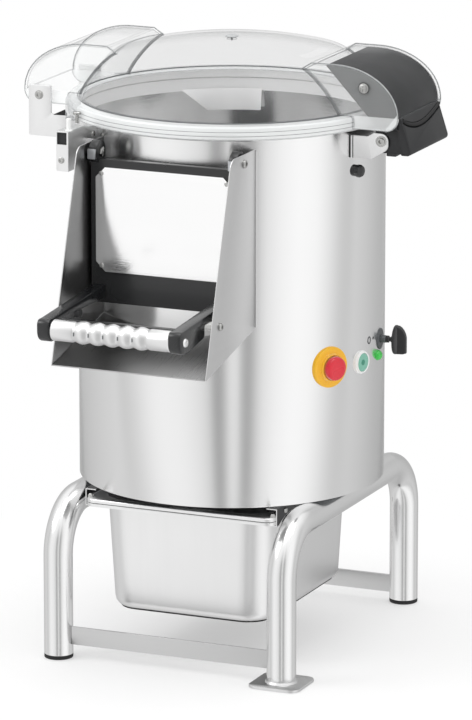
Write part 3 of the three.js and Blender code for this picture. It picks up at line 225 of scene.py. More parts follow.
def rod(radius, low, high, steps=ROUND_STEPS):
    return lathe([(0, low), (radius, low), (radius, high), (0, high)], steps)


def arc(middle, radius, start, end, steps=ARC_STEPS):
    """Points of an arc between two angles in degrees, in a flat outline or a profile."""
    turns = [math.radians(start + (end - start) * i / steps) for i in range(steps + 1)]
    wide, tall = radius if isinstance(radius, tuple) else (radius, radius)
    return [(middle[0] + wide * math.cos(t), middle[1] + tall * math.sin(t)) for t in turns]


def circle(middle, radius, steps=SMALL_STEPS):
    return arc(middle, radius, 0, 360 - 360 / steps, steps - 1)


def rounded(corners, steps=ARC_STEPS):
    """A closed outline from (u, v) corners and (u, v, radius) corners."""
    points = []
    for index, (u, v, *sizes) in enumerate(corners):
        here = Vector((u, v))
        size = sizes[0] if sizes else 0
        if size <= 0:
            points.append(tuple(here))
            continue
        back = Vector(corners[index - 1][:2]) - here
        ahead = Vector(corners[(index + 1) % len(corners)][:2]) - here
        turn = back.angle(ahead) / 2
        size = min(size, min(back.length, ahead.length) / 2 * math.tan(turn))
        run = size / math.tan(turn)
        middle = here + (back.normalized() + ahead.normalized()).normalized() * size / math.sin(turn)
        start = here + back.normalized() * run - middle
        sweep = start.angle_signed(here + ahead.normalized() * run - middle)
        points += [tuple(middle + Matrix.Rotation(-sweep * i / steps, 2) @ start) for i in range(steps + 1)]
    return points


def rectangle(low_u, low_v, high_u, high_v, radius=0.0):
    corners = ((low_u, low_v), (high_u, low_v), (high_u, high_v), (low_u, high_v))
    return rounded([(u, v, radius) for u, v in corners])


def inset(outline, amount):
    """The outline moved inwards by an even amount."""
    total = len(outline)
    area = sum(outline[i - 1][0] * outline[i][1] - outline[i][0] * outline[i - 1][1] for i in range(total))
    side = 1 if area > 0 else -1
    result = []
    for index in range(total):
        here = Vector(outline[index])
        before = (here - Vector(outline[index - 1])).normalized()
        after = (Vector(outline[(index + 1) % total]) - here).normalized()
        middle = sum((Vector((-d.y, d.x)) * side for d in (before, after)), Vector((0, 0)))
        result.append(tuple(here + middle * (2 / max(middle.length_squared, 0.5)) * amount))
    return result


def slab(outline, low, high, edge=0.0, holes=()):
    """A plate across Z between two heights, with rounded edges and sharp holes."""
    net = bmesh.new()

    def loop(line, height):
        return [net.verts.new((u, v, height)) for u, v in line]

    def wall(below, above):
        for i in range(len(below)):
            net.faces.new((below[i - 1], below[i], above[i], above[i - 1]))

    bends = [(edge * (1 - math.sin(t)), edge * (1 - math.cos(t))) for t in (0, math.pi / 4, math.pi / 2)]
    levels = [(low + into, down) for into, down in bends][::-1]
    levels += [(high - into, down) for into, down in bends]
    if edge <= 0:
        levels = [(low, 0.0), (high, 0.0)]
    loops = [loop(inset(outline, down) if down else outline, height) for height, down in levels]
    for below, above in zip(loops, loops[1:]):
        wall(below, above)
    rims = [[loops[0]], [loops[-1]]]
    for hole in holes:
        bottom, top = loop(hole, low), loop(hole, high)
        wall(top, bottom)
        rims[0].append(bottom)
        rims[1].append(top)
    for rings in rims:
        edges = [(ring[i - 1], ring[i]) for ring in rings for i in range(len(ring))]
        edges = [net.edges.get(ends) or net.edges.new(ends) for ends in edges]
        bmesh.ops.triangle_fill(net, edges=edges, use_beauty=True)
    return harvest(net)


def box_shape(low, high, edge=0.0):
    return slab(rectangle(low[0], low[1], high[0], high[1]), low[2], high[2], edge)


def across_x(outline, low, high, edge=0.0, holes=()):
    """A plate across X, from an outline in Y and Z."""
    return facing(slab(outline, low, high, edge, holes), RIGHT)


def across_y(outline, low, high, edge=0.0, holes=()):
    """A plate across Y, from an outline in X and Z."""
    return facing(slab(outline, -high, -low, edge, holes), FRONT)


def loft(loops, closed=False):
    """Joins loops of equal length. The ends are capped unless the loops close into a ring."""
    size, count = len(loops[0]), len(loops)
    faces = []
    for level in range(count if closed else count - 1):
        start, after = level * size, ((level + 1) % count) * size
        for i in range(size):
            j = (i + 1) % size
            faces.append([start + i, start + j, after + j, after + i])
    if not closed:
        faces.append(list(range(size))[::-1])
        faces.append(list(range((count - 1) * size, count * size)))
    return [tuple(p) for loop in loops for p in loop], faces


def pipe(path, radius, wall=0.0, steps=SMALL_STEPS, across=RIGHT):
    """A round tube along a path in one plane, across X unless said, hollow where it has a wall."""
    out = Vector(across)
    turns = [2 * math.pi * step / steps for step in range(steps)]

    def rings(size):
        result = []
        for index, here in enumerate(path):
            run = Vector(path[min(index + 1, len(path) - 1)]) - Vector(path[max(index - 1, 0)])
            up = out.cross(run.normalized())
            result.append([Vector(here) + (out * math.cos(t) + up * math.sin(t)) * size for t in turns])
        return result
    if wall > 0:
        return loft(rings(radius) + rings(radius - wall)[::-1], closed=True)
    return loft(rings(radius))


def new_object(name, points, faces):
    mesh = bpy.data.meshes.new(name)
    mesh.from_pydata(points, [], faces)
    net = bmesh.new()
    net.from_mesh(mesh)
    bmesh.ops.recalc_face_normals(net, faces=net.faces[:])
    net.to_mesh(mesh)
    net.free()
    made = bpy.data.objects.new(name, mesh)
    bpy.context.scene.collection.objects.link(made)
    return made


def combined(operation, *shapes):
    """Unites solids, or cuts the others from the first, and gives back one shape."""
    holders = [new_object("temporary", *shape) for shape in shapes]
    for tool in holders[1:]:
        step = holders[0].modifiers.new("step", "BOOLEAN")
        step.operation = operation
        step.solver = "EXACT"
        step.object = tool
    view = bpy.context.evaluated_depsgraph_get()
    view.update()
    mesh = bpy.data.meshes.new_from_object(holders[0].evaluated_get(view))
    shape = [tuple(v.co) for v in mesh.vertices], [list(p.vertices) for p in mesh.polygons]
    leftovers = [holder.data for holder in holders] + [mesh]
    for holder in holders:
        bpy.data.objects.remove(holder)
    for leftover in leftovers:
        bpy.data.meshes.remove(leftover)
    return shape


def carved(base, *cutters):
    return combined("DIFFERENCE", base, *cutters)


def united(*shapes):
    return combined("UNION", *shapes)


def fitted(shape):
    """Cuts a shape back so that it meets the drum's wall."""
    return carved(shape, rod(DRUM_RADIUS + WELD_GAP, DRUM_BOTTOM, CROWN))


# Pieces
def piece(name, node, shape, look, bevel=0.0, sharp=32.0, finish=None):
    """Makes one visible piece that stands for a node, moves with its body and takes the given look. Its
    finish is not used.
    """
    points, faces = shape
    made = new_object(name, [AXIS + Vector(p) * MM for p in points], faces)
    made.data.shade_smooth()
    made.data.set_sharp_from_angle(angle=math.radians(sharp))
    made.data.materials.append(look)
    if bevel > 0:
        soften(made, bevel)
    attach(made, frame["nodes"][node]["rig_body"])
    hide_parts(node)
    return made


def pieces(name, node, shapes, look, **settings):
    """Makes several pieces of one kind, numbered from 0."""
    for index, shape in enumerate(shapes):
        piece("%s_%d" % (name, index), node, shape, look, **settings)


def upright_part(name, node, look, profile_of, steps=SMALL_STEPS):
    """A turned piece in the middle of its node's box. Its profile follows from its radius, bottom and top."""
    low, high = span(node)
    shape = lathe(profile_of(half(node).x, low.z, high.z), steps)
    piece(name, node, shifted(shape, centre(node).x, centre(node).y), look)


def wall_part(name, node, look, profile, angle, steps=SMALL_STEPS):
    """A turned piece on the drum, at its node's height. Its profile's heights start at the drum's wall."""
    shape = lathe([(radius, DRUM_RADIUS + out) for radius, out in profile], steps)
    piece(name, node, on_drum(shape, angle, centre(node).z), look)


def soften(part, width):
    edge = part.modifiers.new("edge", "BEVEL")
    edge.width = width * MM
    edge.segments = 3
    edge.limit_method = "ANGLE"
    edge.angle_limit = math.radians(35)
    edge.harden_normals = True


def kept(node, look, bevel):
    """Shows a node as packed, with its edges softened and its own surface."""
    part = frame["nodes"][node]
    part.data.materials.clear()
    part.data.materials.append(look)
    soften(part, bevel)


def painted(made, looks, pick):
    """Gives a piece more finishes. For each face, pick says which it takes, and 0 is the first one."""
    for look in looks:
        made.data.materials.append(look)
    for face in made.data.polygons:
        face.material_index = int(pick((face.center - AXIS) / MM, face.normal))


# Surface patterns shared by the materials
def tone(red, green, blue):
    """A seen colour, 0 to 255, as the renderer's colour."""
    values = [v / 255 for v in (red, green, blue)]
    return [v / 12.92 if v <= 0.04045 else ((v + 0.055) / 1.055) ** 2.4 for v in values] + [1.0]


def darker(colour, share):
    return [c * (1 - share) for c in colour[:3]] + [1.0]


def add(tree, kind, inputs=(), **settings):
    made = tree.nodes.new("ShaderNode" + kind)
    for key, value in settings.items():
        setattr(made, key, value)
    for key, value in dict(inputs).items():
        if isinstance(value, bpy.types.NodeSocket):
            tree.links.new(value, made.inputs[key])
        else:
            made.inputs[key].default_value = value
    return made


def spread(tree, value, low, high, to_low=0.0, to_high=1.0):
    """Maps a value from one range to another."""
    return add(tree, "MapRange", {0: value, 1: low, 2: high, 3: to_low, 4: to_high}).outputs[0]


def worked(tree, operation, first, second, clamp=False):
    return add(tree, "Math", {0: first, 1: second}, operation=operation, use_clamp=clamp).outputs[0]


def blended(tree, factor, first, second):
    return add(tree, "Mix", {0: factor, 6: first, 7: second}, data_type="RGBA").outputs[2]


def mixed(tree, factor, first, second):
    return add(tree, "MixShader", {0: factor, 1: first.outputs[0], 2: second.outputs[0]})


def object_place(tree):
    return add(tree, "TexCoord").outputs["Object"]


def bare_tree(holder):
    holder.use_nodes = True
    holder.node_tree.nodes.clear()
    return holder.node_tree


def new_group(name, inputs, outputs):
    group = bpy.data.node_groups.new(name, "ShaderNodeTree")
    for label, kind in inputs.items():
        group.interface.new_socket(name=label, in_out="INPUT", socket_type="NodeSocket" + kind)
    for label in outputs:
        group.interface.new_socket(name=label, in_out="OUTPUT", socket_type="NodeSocketFloat")
    return group, group.nodes.new("NodeGroupInput").outputs, group.nodes.new("NodeGroupOutput").inputs


def brushed_grain():
    """Fine lines: the stretch is short along the lines and long across them."""
    inputs = {"Place": "Vector", "Stretch": "Vector"}
    group, source, result = new_group("brushed_grain", inputs, ["Grain", "Streak"])
    factors = {0: source["Place"], 1: source["Stretch"]}
    place = add(group, "VectorMath", factors, operation="MULTIPLY").outputs[0]
    fine = add(group, "TexNoise", {"Vector": place, "Scale": 1.0, "Detail": 3.0})
    wide = add(group, "TexNoise", {"Vector": place, "Scale": 0.17, "Detail": 2.0})
    group.links.new(spread(group, fine.outputs[0], 0.3, 0.7), result["Grain"])
    group.links.new(spread(group, wide.outputs[0], 0.35, 0.65), result["Streak"])
    return group


def cloud_marks():
    """Soft uneven patches, from handling and wiping, and small marks."""
    group, source, result = new_group("cloud_marks", {"Place": "Vector", "Size": "Float"}, ["Cloud", "Speck"])
    soft = add(group, "TexNoise", {
        "Vector": source["Place"], "Scale": source["Size"], "Detail": 4.0, "Roughness": 0.55})
    small = add(group, "TexNoise", {"Vector": source["Place"], "Scale": 620.0, "Detail": 1.0})
    group.links.new(spread(group, soft.outputs[0], 0.35, 0.68), result["Cloud"])
    group.links.new(spread(group, small.outputs[0], 0.62, 0.74), result["Speck"])
    return group


def edge_wear_and_outline_shade():
    """Edges: Edge is an even line, which clear plastic darkens as a painted shade outline, and Wear is broken
    up, as handling leaves it.
    """
    group, source, result = new_group("edge_wear_and_outline_shade", {"Place": "Vector", "Width": "Float"}, ["Wear", "Edge"])
    turned = add(group, "Bevel", {"Radius": source["Width"]}, samples=4).outputs[0]
    straight = add(group, "NewGeometry").outputs["Normal"]
    both = add(group, "VectorMath", {0: turned, 1: straight}, operation="DOT_PRODUCT")
    edge = spread(group, both.outputs["Value"], 0.985, 0.93)
    broken = add(group, "TexNoise", {"Vector": source["Place"], "Scale": 90.0, "Detail": 3.0})
    uneven = spread(group, broken.outputs[0], 0.42, 0.62)
    group.links.new(worked(group, "MULTIPLY", edge, uneven), result["Wear"])
    group.links.new(edge, result["Edge"])
    return group


WEAR_WIDTH = 0.0009
COVER_BOW = 0.6
GRAIN = brushed_grain()
MARKS = cloud_marks()
WEAR_AND_OUTLINE_SHADE = edge_wear_and_outline_shade()


def surface(name, seen, metallic, rough, grain=None, depth=0.05, shade=0.06, worn=0.25, worn_seen=None,
            cloud=5.0, coat=0.0, brushed=0.0):
    """A material with grain, soft patches, worn edges and a slightly uneven surface."""
    look = bpy.data.materials.new(name)
    tree = bare_tree(look)
    colour, place = tone(*seen), object_place(tree)
    marks = add(tree, "Group", {"Place": place, "Size": cloud}, node_tree=MARKS).outputs
    wear_and_outline_shade = add(tree, "Group", {"Place": place, "Width": WEAR_WIDTH}, node_tree=WEAR_AND_OUTLINE_SHADE).outputs
    paint = blended(tree, marks["Cloud"], colour, darker(colour, shade))
    height, patchy = marks["Speck"], marks["Cloud"]
    if grain is not None:
        lines = add(tree, "Group", {"Place": place, "Stretch": grain}, node_tree=GRAIN).outputs
        paint = blended(tree, spread(tree, lines["Streak"], 0, 1, 0, 0.6), paint, darker(colour, 0.8 * shade))
        height = lines["Grain"]
        patchy = spread(tree, worked(tree, "ADD", height, patchy), 0, 2)
    bright = tone(*worn_seen) if worn_seen else [min(1.0, c * 1.25 + 0.04) for c in colour[:3]] + [1.0]
    paint = blended(tree, spread(tree, wear_and_outline_shade["Wear"], 0, 1, 0, worn), paint, bright)
    bump = add(tree, "Bump", {"Strength": depth, "Distance": 0.0004, "Height": height})
    shell = add(tree, "BsdfPrincipled", {
        "Base Color": paint, "Roughness": spread(tree, patchy, 0, 1, *rough), "Normal": bump.outputs[0],
        "Metallic": metallic, "Coat Weight": coat, "Coat Roughness": 0.12})
    if brushed > 0:
        lines_run = add(tree, "Tangent", direction_type="RADIAL", axis="Z")
        tree.links.new(lines_run.outputs[0], shell.inputs["Tangent"])
        shell.inputs["Anisotropic"].default_value = brushed
        shell.inputs["Anisotropic Rotation"].default_value = 0.25
    add(tree, "OutputMaterial", {0: shell.outputs[0]})
    return look


def steel(name, level, *values, **more):
    return surface(name, (level, level, level), 1.0, *values, **more)


def moulded(name, seen, rough, *values, **more):
    return surface(name, seen, 0.0, rough, None, *values, **more)


def node_of(tree, kind):
    return next(n for n in tree.nodes if n.type == kind)


# Materials
def drum_steel():
    return steel("drum_steel", 240, (0.2, 0.23), (4, 4, 1500), 0.04, 0.02, cloud=2.5, brushed=0.8)


def tube_steel():
    return steel("tube_steel", 238, (0.17, 0.21), (700, 60, 60), 0.02, 0.02)


def sheet_steel():
    return steel("sheet_steel", 224, (0.3, 0.36), (900, 14, 14), 0.05, 0.03, cloud=4.0)


def upright_sheet():
    return steel("upright_sheet", 218, (0.3, 0.35), (14, 14, 900), 0.05, 0.03, cloud=4.0)


def plate_steel():
    """The door's bright cover, a sheet that is bowed by a few degrees from side to side."""
    look = steel("plate_steel", 252, (0.12, 0.15), (14, 900, 900), 0.1, 0.02, cloud=3.0, brushed=0.85)
    tree = look.node_tree
    across = add(tree, "SeparateXYZ", {0: object_place(tree)}).outputs["X"]
    away = worked(tree, "SUBTRACT", across, AXIS.x)
    bow = worked(tree, "MULTIPLY", away, away)
    grain = node_of(tree, "BUMP")
    bend = add(tree, "Bump", {"Strength": 1.0, "Distance": COVER_BOW, "Height": bow})
    tree.links.new(bend.outputs[0], grain.inputs["Normal"])
    return look


def guard_steel():
    return steel("guard_steel", 252, (0.3, 0.36), (14, 900, 900), 0.1, 0.02, cloud=3.0)


# A darker copy of the sheet steel, as painted shade for the chute's floor
def shaded_floor_steel():
    return steel("shaded_floor_steel", 186, (0.26, 0.32), (900, 14, 14), 0.05, 0.06, cloud=4.0)


# A darker copy of the upright sheet, as painted shade for the chute sides' inner faces
def shaded_cheek_steel():
    return steel("shaded_cheek_steel", 176, (0.28, 0.34), (14, 14, 900), 0.05, 0.1, cloud=4.0)


def bar_steel():
    return steel("bar_steel", 208, (0.32, 0.38), (14, 900, 900), 0.06, 0.05, cloud=4.0)


def inner_steel():
    return steel("inner_steel", 240, (0.13, 0.17), (5, 5, 900), 0.05, 0.04, brushed=0.5)


def pan_steel():
    return steel("pan_steel", 240, (0.32, 0.38), (500, 20, 20), 0.04, 0.04, cloud=4.0)


def grip_alloy():
    return steel("grip_alloy", 236, (0.3, 0.4), (30, 900, 900), 0.05, 0.08, 0.3)


def zinc_screw():
    return surface("zinc_screw", (190, 190, 188), 1.0, (0.2, 0.3), None, 0.05, 0.12, 0.6)


def machined_steel():
    return surface("machined_steel", (190, 192, 195), 1.0, (0.25, 0.35), (40, 40, 1200), 0.06, 0.08)


def cast_iron():
    return surface("cast_iron", (120, 124, 126), 0.8, (0.5, 0.65), None, 0.3, 0.2, 0.35)


def painted_steel():
    return surface("painted_steel", (96, 99, 101), 0.3, (0.45, 0.6), None, 0.12, 0.15, 0.35)


def gloss_black():
    return moulded("gloss_black", (24, 25, 27), (0.24, 0.34), 0.03, 0.2, 0.3, (70, 72, 74), coat=0.25)


def satin_black():
    return moulded("satin_black", (30, 31, 33), (0.42, 0.5), 0.05, 0.12, 0.35, (84, 86, 88), cloud=14.0)


def grey_plastic():
    return moulded("grey_plastic", (186, 188, 189), (0.35, 0.45), 0.05, 0.06, coat=0.2)


def black_rubber():
    return moulded("black_rubber", (22, 22, 23), (0.6, 0.75), 0.2, 0.25, 0.3, (60, 60, 60))


# Pale silicone for the lid's gasket, also used as painted light for the band inside the drum's rim
def pale_silicone_and_light_band():
    return moulded("pale_silicone_and_light_band", (246, 246, 246), (0.5, 0.65), 0.1, 0.08)


def grit():
    return moulded("grit", (244, 244, 244), (0.7, 0.9), 0.8, 0.24, 0.4, (248, 248, 248), cloud=9.0)


def yellow_plastic():
    return moulded("yellow_plastic", (250, 190, 30), (0.3, 0.42), 0.05, 0.08, coat=0.2)


def red_plastic():
    return moulded("red_plastic", (226, 24, 48), (0.22, 0.34), 0.04, 0.12, coat=0.4)


def white_plastic():
    return moulded("white_plastic", (244, 245, 244), (0.25, 0.36), 0.04, 0.05, coat=0.3)


def mint_plastic():
    return moulded("mint_plastic", (126, 190, 168), (0.3, 0.4), 0.05, 0.1, coat=0.2)


def deep_green():
    return moulded("deep_green", (62, 142, 118), (0.3, 0.4), 0.05, 0.1)


def green_lens():
    return moulded("green_lens", (50, 205, 70), (0.08, 0.16), 0.03, 0.1, coat=0.7)


def grey_print_and_shade_line():
    return moulded("grey_print_and_shade_line", (76, 78, 80), (0.4, 0.5), 0.05, 0.1)


def clear_plastic(name, veil, slanted, seen_as=(132, 134, 135), glow=0.0):
    """Clear moulded plastic. It is seen most at a slant and along its edges, where it is darkened to a grey
    outline as painted shade. A glow above 0 is a painted glow of light.
    """
    look = moulded(name, seen_as, (0.03, 0.06), 0.012, 0.02, 0.0)
    tree = look.node_tree
    shell = node_of(tree, "BSDF_PRINCIPLED").inputs
    wear_and_outline_shade = next(n for n in tree.nodes if n.type == "GROUP" and n.node_tree == WEAR_AND_OUTLINE_SHADE)
    wear_and_outline_shade.inputs["Width"].default_value = 0.0022
    slant = add(tree, "LayerWeight", {"Blend": 0.5}).outputs["Facing"]
    haze = spread(tree, slant, 0.8, 1.0, veil, slanted)
    seen = worked(tree, "ADD", haze, spread(tree, wear_and_outline_shade.outputs["Edge"], 0, 1, 0, 0.6), True)
    passed = spread(tree, add(tree, "LightPath").outputs["Is Shadow Ray"], 0, 1, 1, 0.3)
    tree.links.new(worked(tree, "MULTIPLY", seen, passed), shell["Alpha"])
    plain = shell["Base Color"].links[0].from_socket
    # Painted shade: along the edges the colour is darkened to a grey outline
    tree.links.new(blended(tree, wear_and_outline_shade.outputs["Edge"], plain, tone(92, 95, 97)), shell["Base Color"])
    # Painted light: a white glow, as strong as glow says
    shell["Emission Color"].default_value = (1, 1, 1, 1)
    shell["Emission Strength"].default_value = glow
    return look


# Stand
def stand_tubes(look):
    low, high = span("leg_frame_right")
    radius = half("leg_frame_right").x
    front, rear = low.y + radius, high.y - radius
    bend_z, bend, steps = high.z - radius - BEND_RADIUS, BEND_RADIUS, 3 * ARC_STEPS
    plate_top, cap_top = span("foot_plate")[1].z + WELD_GAP, CAP_HEIGHT + WELD_GAP
    for side, sign, foot in (("left", -1, cap_top), ("right", 1, plate_top)):
        line = [(front, foot)] + arc((front + bend, bend_z), bend, 180, 90, steps)
        line += arc((rear - bend, bend_z), bend, 90, 0, steps) + [(rear, cap_top)]
        path = [(sign * centre("leg_frame_right").x, y, z) for y, z in line]
        node = "leg_frame_" + side
        piece(node + "_tube", node, pipe(path, radius, TUBE_WALL), look, 0.4)


def cross_bars(look):
    for node in ("front_cross_bar", "rear_cross_bar"):
        low, high = span(node)
        flat = across_y(rectangle(low.x, low.z, high.x, high.z), low.y, high.y, 0.8)
        piece(node + "_flat", node, flat, look)


def cap_profile(radius, low, high):
    plug = radius - TUBE_WALL - 2 * WELD_GAP
    return [(0, low), (radius - 1.2, low), (radius - 0.3, 0.4), (radius, 1.4), (radius, CAP_HEIGHT - 0.6),
            (radius - 0.5, CAP_HEIGHT), (plug, CAP_HEIGHT), (plug, high - 1), (plug - 1, high), (0, high)]


def foot_caps(look):
    for corner in ("front_left", "rear_left", "rear_right"):
        upright_part("foot_cap_%s_cap" % corner, "foot_cap_" + corner, look, cap_profile)


def foot_plate(look):
    low, high = span("foot_plate")
    pad = slab(rectangle(low.x, low.y, high.x, high.y, 13), low.z, high.z, 1.1)
    piece("foot_plate_pad", "foot_plate", pad, look)


def foot_weld(look):
    """The weld seam between the right front tube and its foot plate."""
    radius, base = half("leg_frame_right").x, span("foot_plate")[1].z
    seam = ((-0.5, 0), (2.4, 0), (1.6, 1.3), (0.6, 2.6), (-0.5, 3))
    profile = [(radius + out, base + up) for out, up in seam]
    place = centre("leg_frame_right").x, span("leg_frame_right")[0].y + radius
    piece("foot_weld", "foot_plate", shifted(lathe(profile, SMALL_STEPS), *place), look)


def screw_head(radius, height, bore=0.0):
    """A round screw head with a soft edge, and a small socket where it has one."""
    profile = [(0, 0), (radius, 0), (radius, 0.45 * height), (0.93 * radius, 0.8 * height),
               (0.78 * radius, height)]
    top = [(bore, height), (bore, 0.4 * height), (0, 0.4 * height)]
    if bore == 0:
        top = [(0.5 * radius, 1.04 * height), (0, 1.06 * height)]
    return lathe(profile + top, SMALL_STEPS)


def hex_head(radius, height):
    """A bolt's six-sided head with a bevelled top."""
    return slab(arc((0, 0), radius, 15, 315, 5), 0, height, 0.12 * radius)


def pan_rails(look, dark, screw):
    sheet = 1.5
    for side, sign, out in (("left", -1, LEFT), ("right", 1, RIGHT)):
        node = "pan_rail_" + side
        low, high = span(node)
        (inner, outer), middle_z = reach_of(node), centre(node).z + 1
        outline = [(inner, low.z), (outer, low.z), (outer, high.z), (inner, high.z), (inner, high.z - sheet),
                   (outer - sheet, high.z - sheet), (outer - sheet, low.z + sheet), (inner, low.z + sheet)]
        rail = across_y([(sign * x, z) for x, z in outline], low.y, high.y)
        made = piece(node + "_channel", node, rail, look, 0.35)
        # Painted shade: every face but those facing the front takes the satin black, for the shade under and
        # beside the rail
        painted(made, [dark], lambda place, normal: normal.y > -0.5)
        bolt = facing(screw_head(3.4, 2.2), out, (sign * outer, low.y + 27, middle_z + 3))
        piece(node + "_bolt", node, bolt, screw)
        head = facing(screw_head(3.6, 2.0), FRONT, (sign * (outer - 6.5), low.y + 2.2, middle_z))
        piece(node + "_screw", node, head, screw)


# Waste pan
def welded(shape):
    """Merges points that lie on each other."""
    net = bmesh.new()
    corners = [net.verts.new(p) for p in shape[0]]
    for face in shape[1]:
        if len(set(face)) > 2:
            net.faces.new([corners[i] for i in face])
    bmesh.ops.remove_doubles(net, verts=net.verts[:], dist=0.001)
    return harvest(net)


def waste_pan(look, dark):
    low, high = span("waste_pan")
    top, bottom, middle_y = high.z, low.z, centre("waste_pan").y
    rim_x, rim_y = half("waste_pan").x, half("waste_pan").y
    flange, drop, sheet, corner, base = 13.0, 10.0, 1.2, 40.0, 14.0

    def loop(half_x, half_y, radius, height):
        line = rectangle(-half_x, -half_y, half_x, half_y, radius)
        return [(u, v + middle_y, height) for u, v in line]

    def tub(inward, height):
        scale = 1 - 0.055 * (top - height) / (top - bottom)
        half_x, half_y = [(edge - flange - inward) * scale for edge in (rim_x, rim_y)]
        return loop(half_x, half_y, corner - inward, height)

    def rim(inward, height):
        return loop(rim_x - inward, rim_y - inward, 12 - min(inward, 8), height)

    bend = [(math.sin(t), math.cos(t)) for t in [math.radians(22.5 * i) for i in range(5)]]
    skin = [rim(0, top - drop), rim(0, top - 6.6), rim(0.8, top - 6), rim(0.8, top - 5.4), rim(0, top - 4.8),
            rim(0, top - 2)]
    skin += [rim(2 * (1 - c), top - 2 + 2 * s) for s, c in bend[1:]]
    skin += [tub(sheet - 3 + 3 * s, top - 3 + 3 * c) for s, c in bend]
    skin += [tub(sheet, top - 40), tub(sheet, top - 80)]
    floor, fold = bottom + sheet, base - sheet
    skin += [tub(sheet + fold * (1 - c), floor + fold * (1 - s)) for s, c in bend]
    skin += [tub(base + 30, floor)]
    back = [tub(base + 30, bottom)]
    back += [tub(base * (1 - c), bottom + base * (1 - s)) for s, c in bend[::-1]]
    back += [tub(0, top - 80), tub(0, top - 40)]
    back += [tub(-3 + 3 * s, top - sheet - 3 + 3 * c) for s, c in bend[::-1]]
    back += [rim(sheet + 1, top - sheet), rim(sheet + 0.9, top - 2), rim(sheet + 0.9, top - drop)]
    inner, outer, edge = loft(skin), loft(back), loft([skin[0], back[-1]])
    del inner[1][-2]
    del outer[1][-1]
    del edge[1][-2:]
    made = piece("waste_pan_tub", "waste_pan", welded(joined(inner, outer, edge)), look, sharp=40)
    # Painted shade: the faces inside the rim's hem groove take the satin black as a dark line
    painted(made, [dark], lambda place, normal: top - 6.5 < place.z < top - 4.9 and abs(normal.z) < 0.6)


# Drum
def opening_box():
    low, high = span("door_frame")
    border = 11.0
    return ((low.x + border, -DRUM_RADIUS - 20, low.z + border),
            (high.x - border, -DRUM_RADIUS / 2, high.z - border))


def drum_wall(look):
    profile = [(DRUM_BORE, DRUM_BOTTOM), (DRUM_RADIUS - 0.4, DRUM_BOTTOM), (DRUM_RADIUS, DRUM_BOTTOM + 0.5),
               (DRUM_RADIUS, DRUM_TOP - 2 * DRUM_BEAD)]
    profile += arc((DRUM_RADIUS, DRUM_TOP - DRUM_BEAD), DRUM_BEAD, -80, 90, 10) + [(DRUM_BORE, DRUM_TOP)]
    wall = carved(lathe(profile, DRUM_STEPS), box_shape(*opening_box()))
    piece("drum_wall", "drum_shell", wall, look, sharp=40)


def drum_seam(look):
    """The upright weld seam at the back of the drum."""
    outline = rectangle(-2.2, DRUM_BOTTOM + 2, 2.2, DRUM_TOP - 9)
    line = slab(outline, DRUM_RADIUS - 0.3, DRUM_RADIUS + 0.35, 0.3)
    piece("drum_seam", "drum_shell", on_drum(line, 180, 0), look)


def drum_rivets(look):
    """The small screws in the drum wall beside the chute and under the rim."""
    head = shifted(screw_head(3.0, 1.3), z=DRUM_RADIUS)
    pieces("drum_screw", "drum_shell", [on_drum(head, -39.5, 694), on_drum(head, -32.5, 690)], look)


def drum_inside(look):
    """The bare steel wall between the pale band of painted light and the rough lining."""
    outer, top = DRUM_BORE - 0.1, DRUM_TOP - LIGHT_BAND_HEIGHT
    bottom = span("abrasive_liner")[1].z + 0.2
    profile = [(outer - 0.5, bottom), (outer, bottom), (outer, top), (outer - 0.5, top)]
    piece("drum_inside", "drum_shell", lathe(profile), look)


def rim_light_band(look):
    """A sloped pale band inside the rim, painted light for the top of the steel wall, which catches the light
    from above.
    """
    outer, foot, lean = DRUM_BORE - 0.1, DRUM_TOP - LIGHT_BAND_HEIGHT, 1.6
    profile = [(outer - lean - 0.8, foot - 0.8), (outer - lean, foot - 0.8), (outer, foot + 1),
               (outer, DRUM_TOP - 0.6), (outer - 0.6, DRUM_TOP - 0.6)]
    piece("rim_light_band", "drum_shell", lathe(profile), look, sharp=60)


def splash_guard(look):
    """A bright plate that leans in from the far wall, under the pale band of painted light."""
    right, top = GUARD_ANGLE - 12.0, DRUM_TOP - LIGHT_BAND_HEIGHT + 2
    loops = []
    for drop, lean, left in ((0, 3.8, 20.0), (1, 4.2, 20.0), (26, 11.0, 10.6), (27.5, 11.2, 10.4)):
        front = DRUM_BORE - 1.2 - lean
        turns = [math.radians(right + (GUARD_ANGLE + left - right) * i / 24) for i in range(25)]
        line = [(front, t) for t in turns] + [(front - 0.8, t) for t in turns[::-1]]
        loops.append([(math.sin(t) * r, -math.cos(t) * r, top - drop) for r, t in line])
    piece("splash_guard", "drum_shell", loft(loops), look, sharp=50)


def chamber_lining(look):
    low, high = span("abrasive_liner")
    inner = high.x - 4.0
    profile = [(inner, low.z), (high.x, low.z), (high.x, high.z), (inner + 1.5, high.z),
               (inner, high.z - 1.5)]
    lining = carved(lathe(profile, INNER_STEPS), box_shape(*opening_box()))
    piece("abrasive_lining", "abrasive_liner", lining, look)


def duct_hole():
    return circle((0, centre("waste_duct").y), half("waste_duct").x + WELD_GAP)


def chamber_base(look):
    low, high = span("chamber_floor")
    shape = slab(circle((0, 0), high.x, INNER_STEPS), low.z, high.z, 0.5, [circle((0, 0), 12.6), duct_hole()])
    piece("chamber_base", "chamber_floor", shape, look)


def base_cover(look):
    low, high = span("base_plate")
    cover = slab(circle((0, 0), high.x, INNER_STEPS), low.z, high.z, 0.5, [duct_hole()])
    piece("base_cover", "base_plate", cover, look)


def duct_profile(radius, low, high):
    inner = radius - 1.5
    return [(inner, low), (radius - 0.4, low), (radius, low + 0.5), (radius, high), (inner, high)]


def door_collar(look):
    low, high = span("door_frame")
    cut_low, cut_high = opening_box()
    hole = rectangle(cut_low[0], cut_low[2], cut_high[0], cut_high[2], 6)
    plate = across_y(rectangle(low.x, low.z, high.x, high.z, 3), low.y, high.y, 0.8, [hole])
    piece("door_collar", "door_frame", fitted(plate), look)


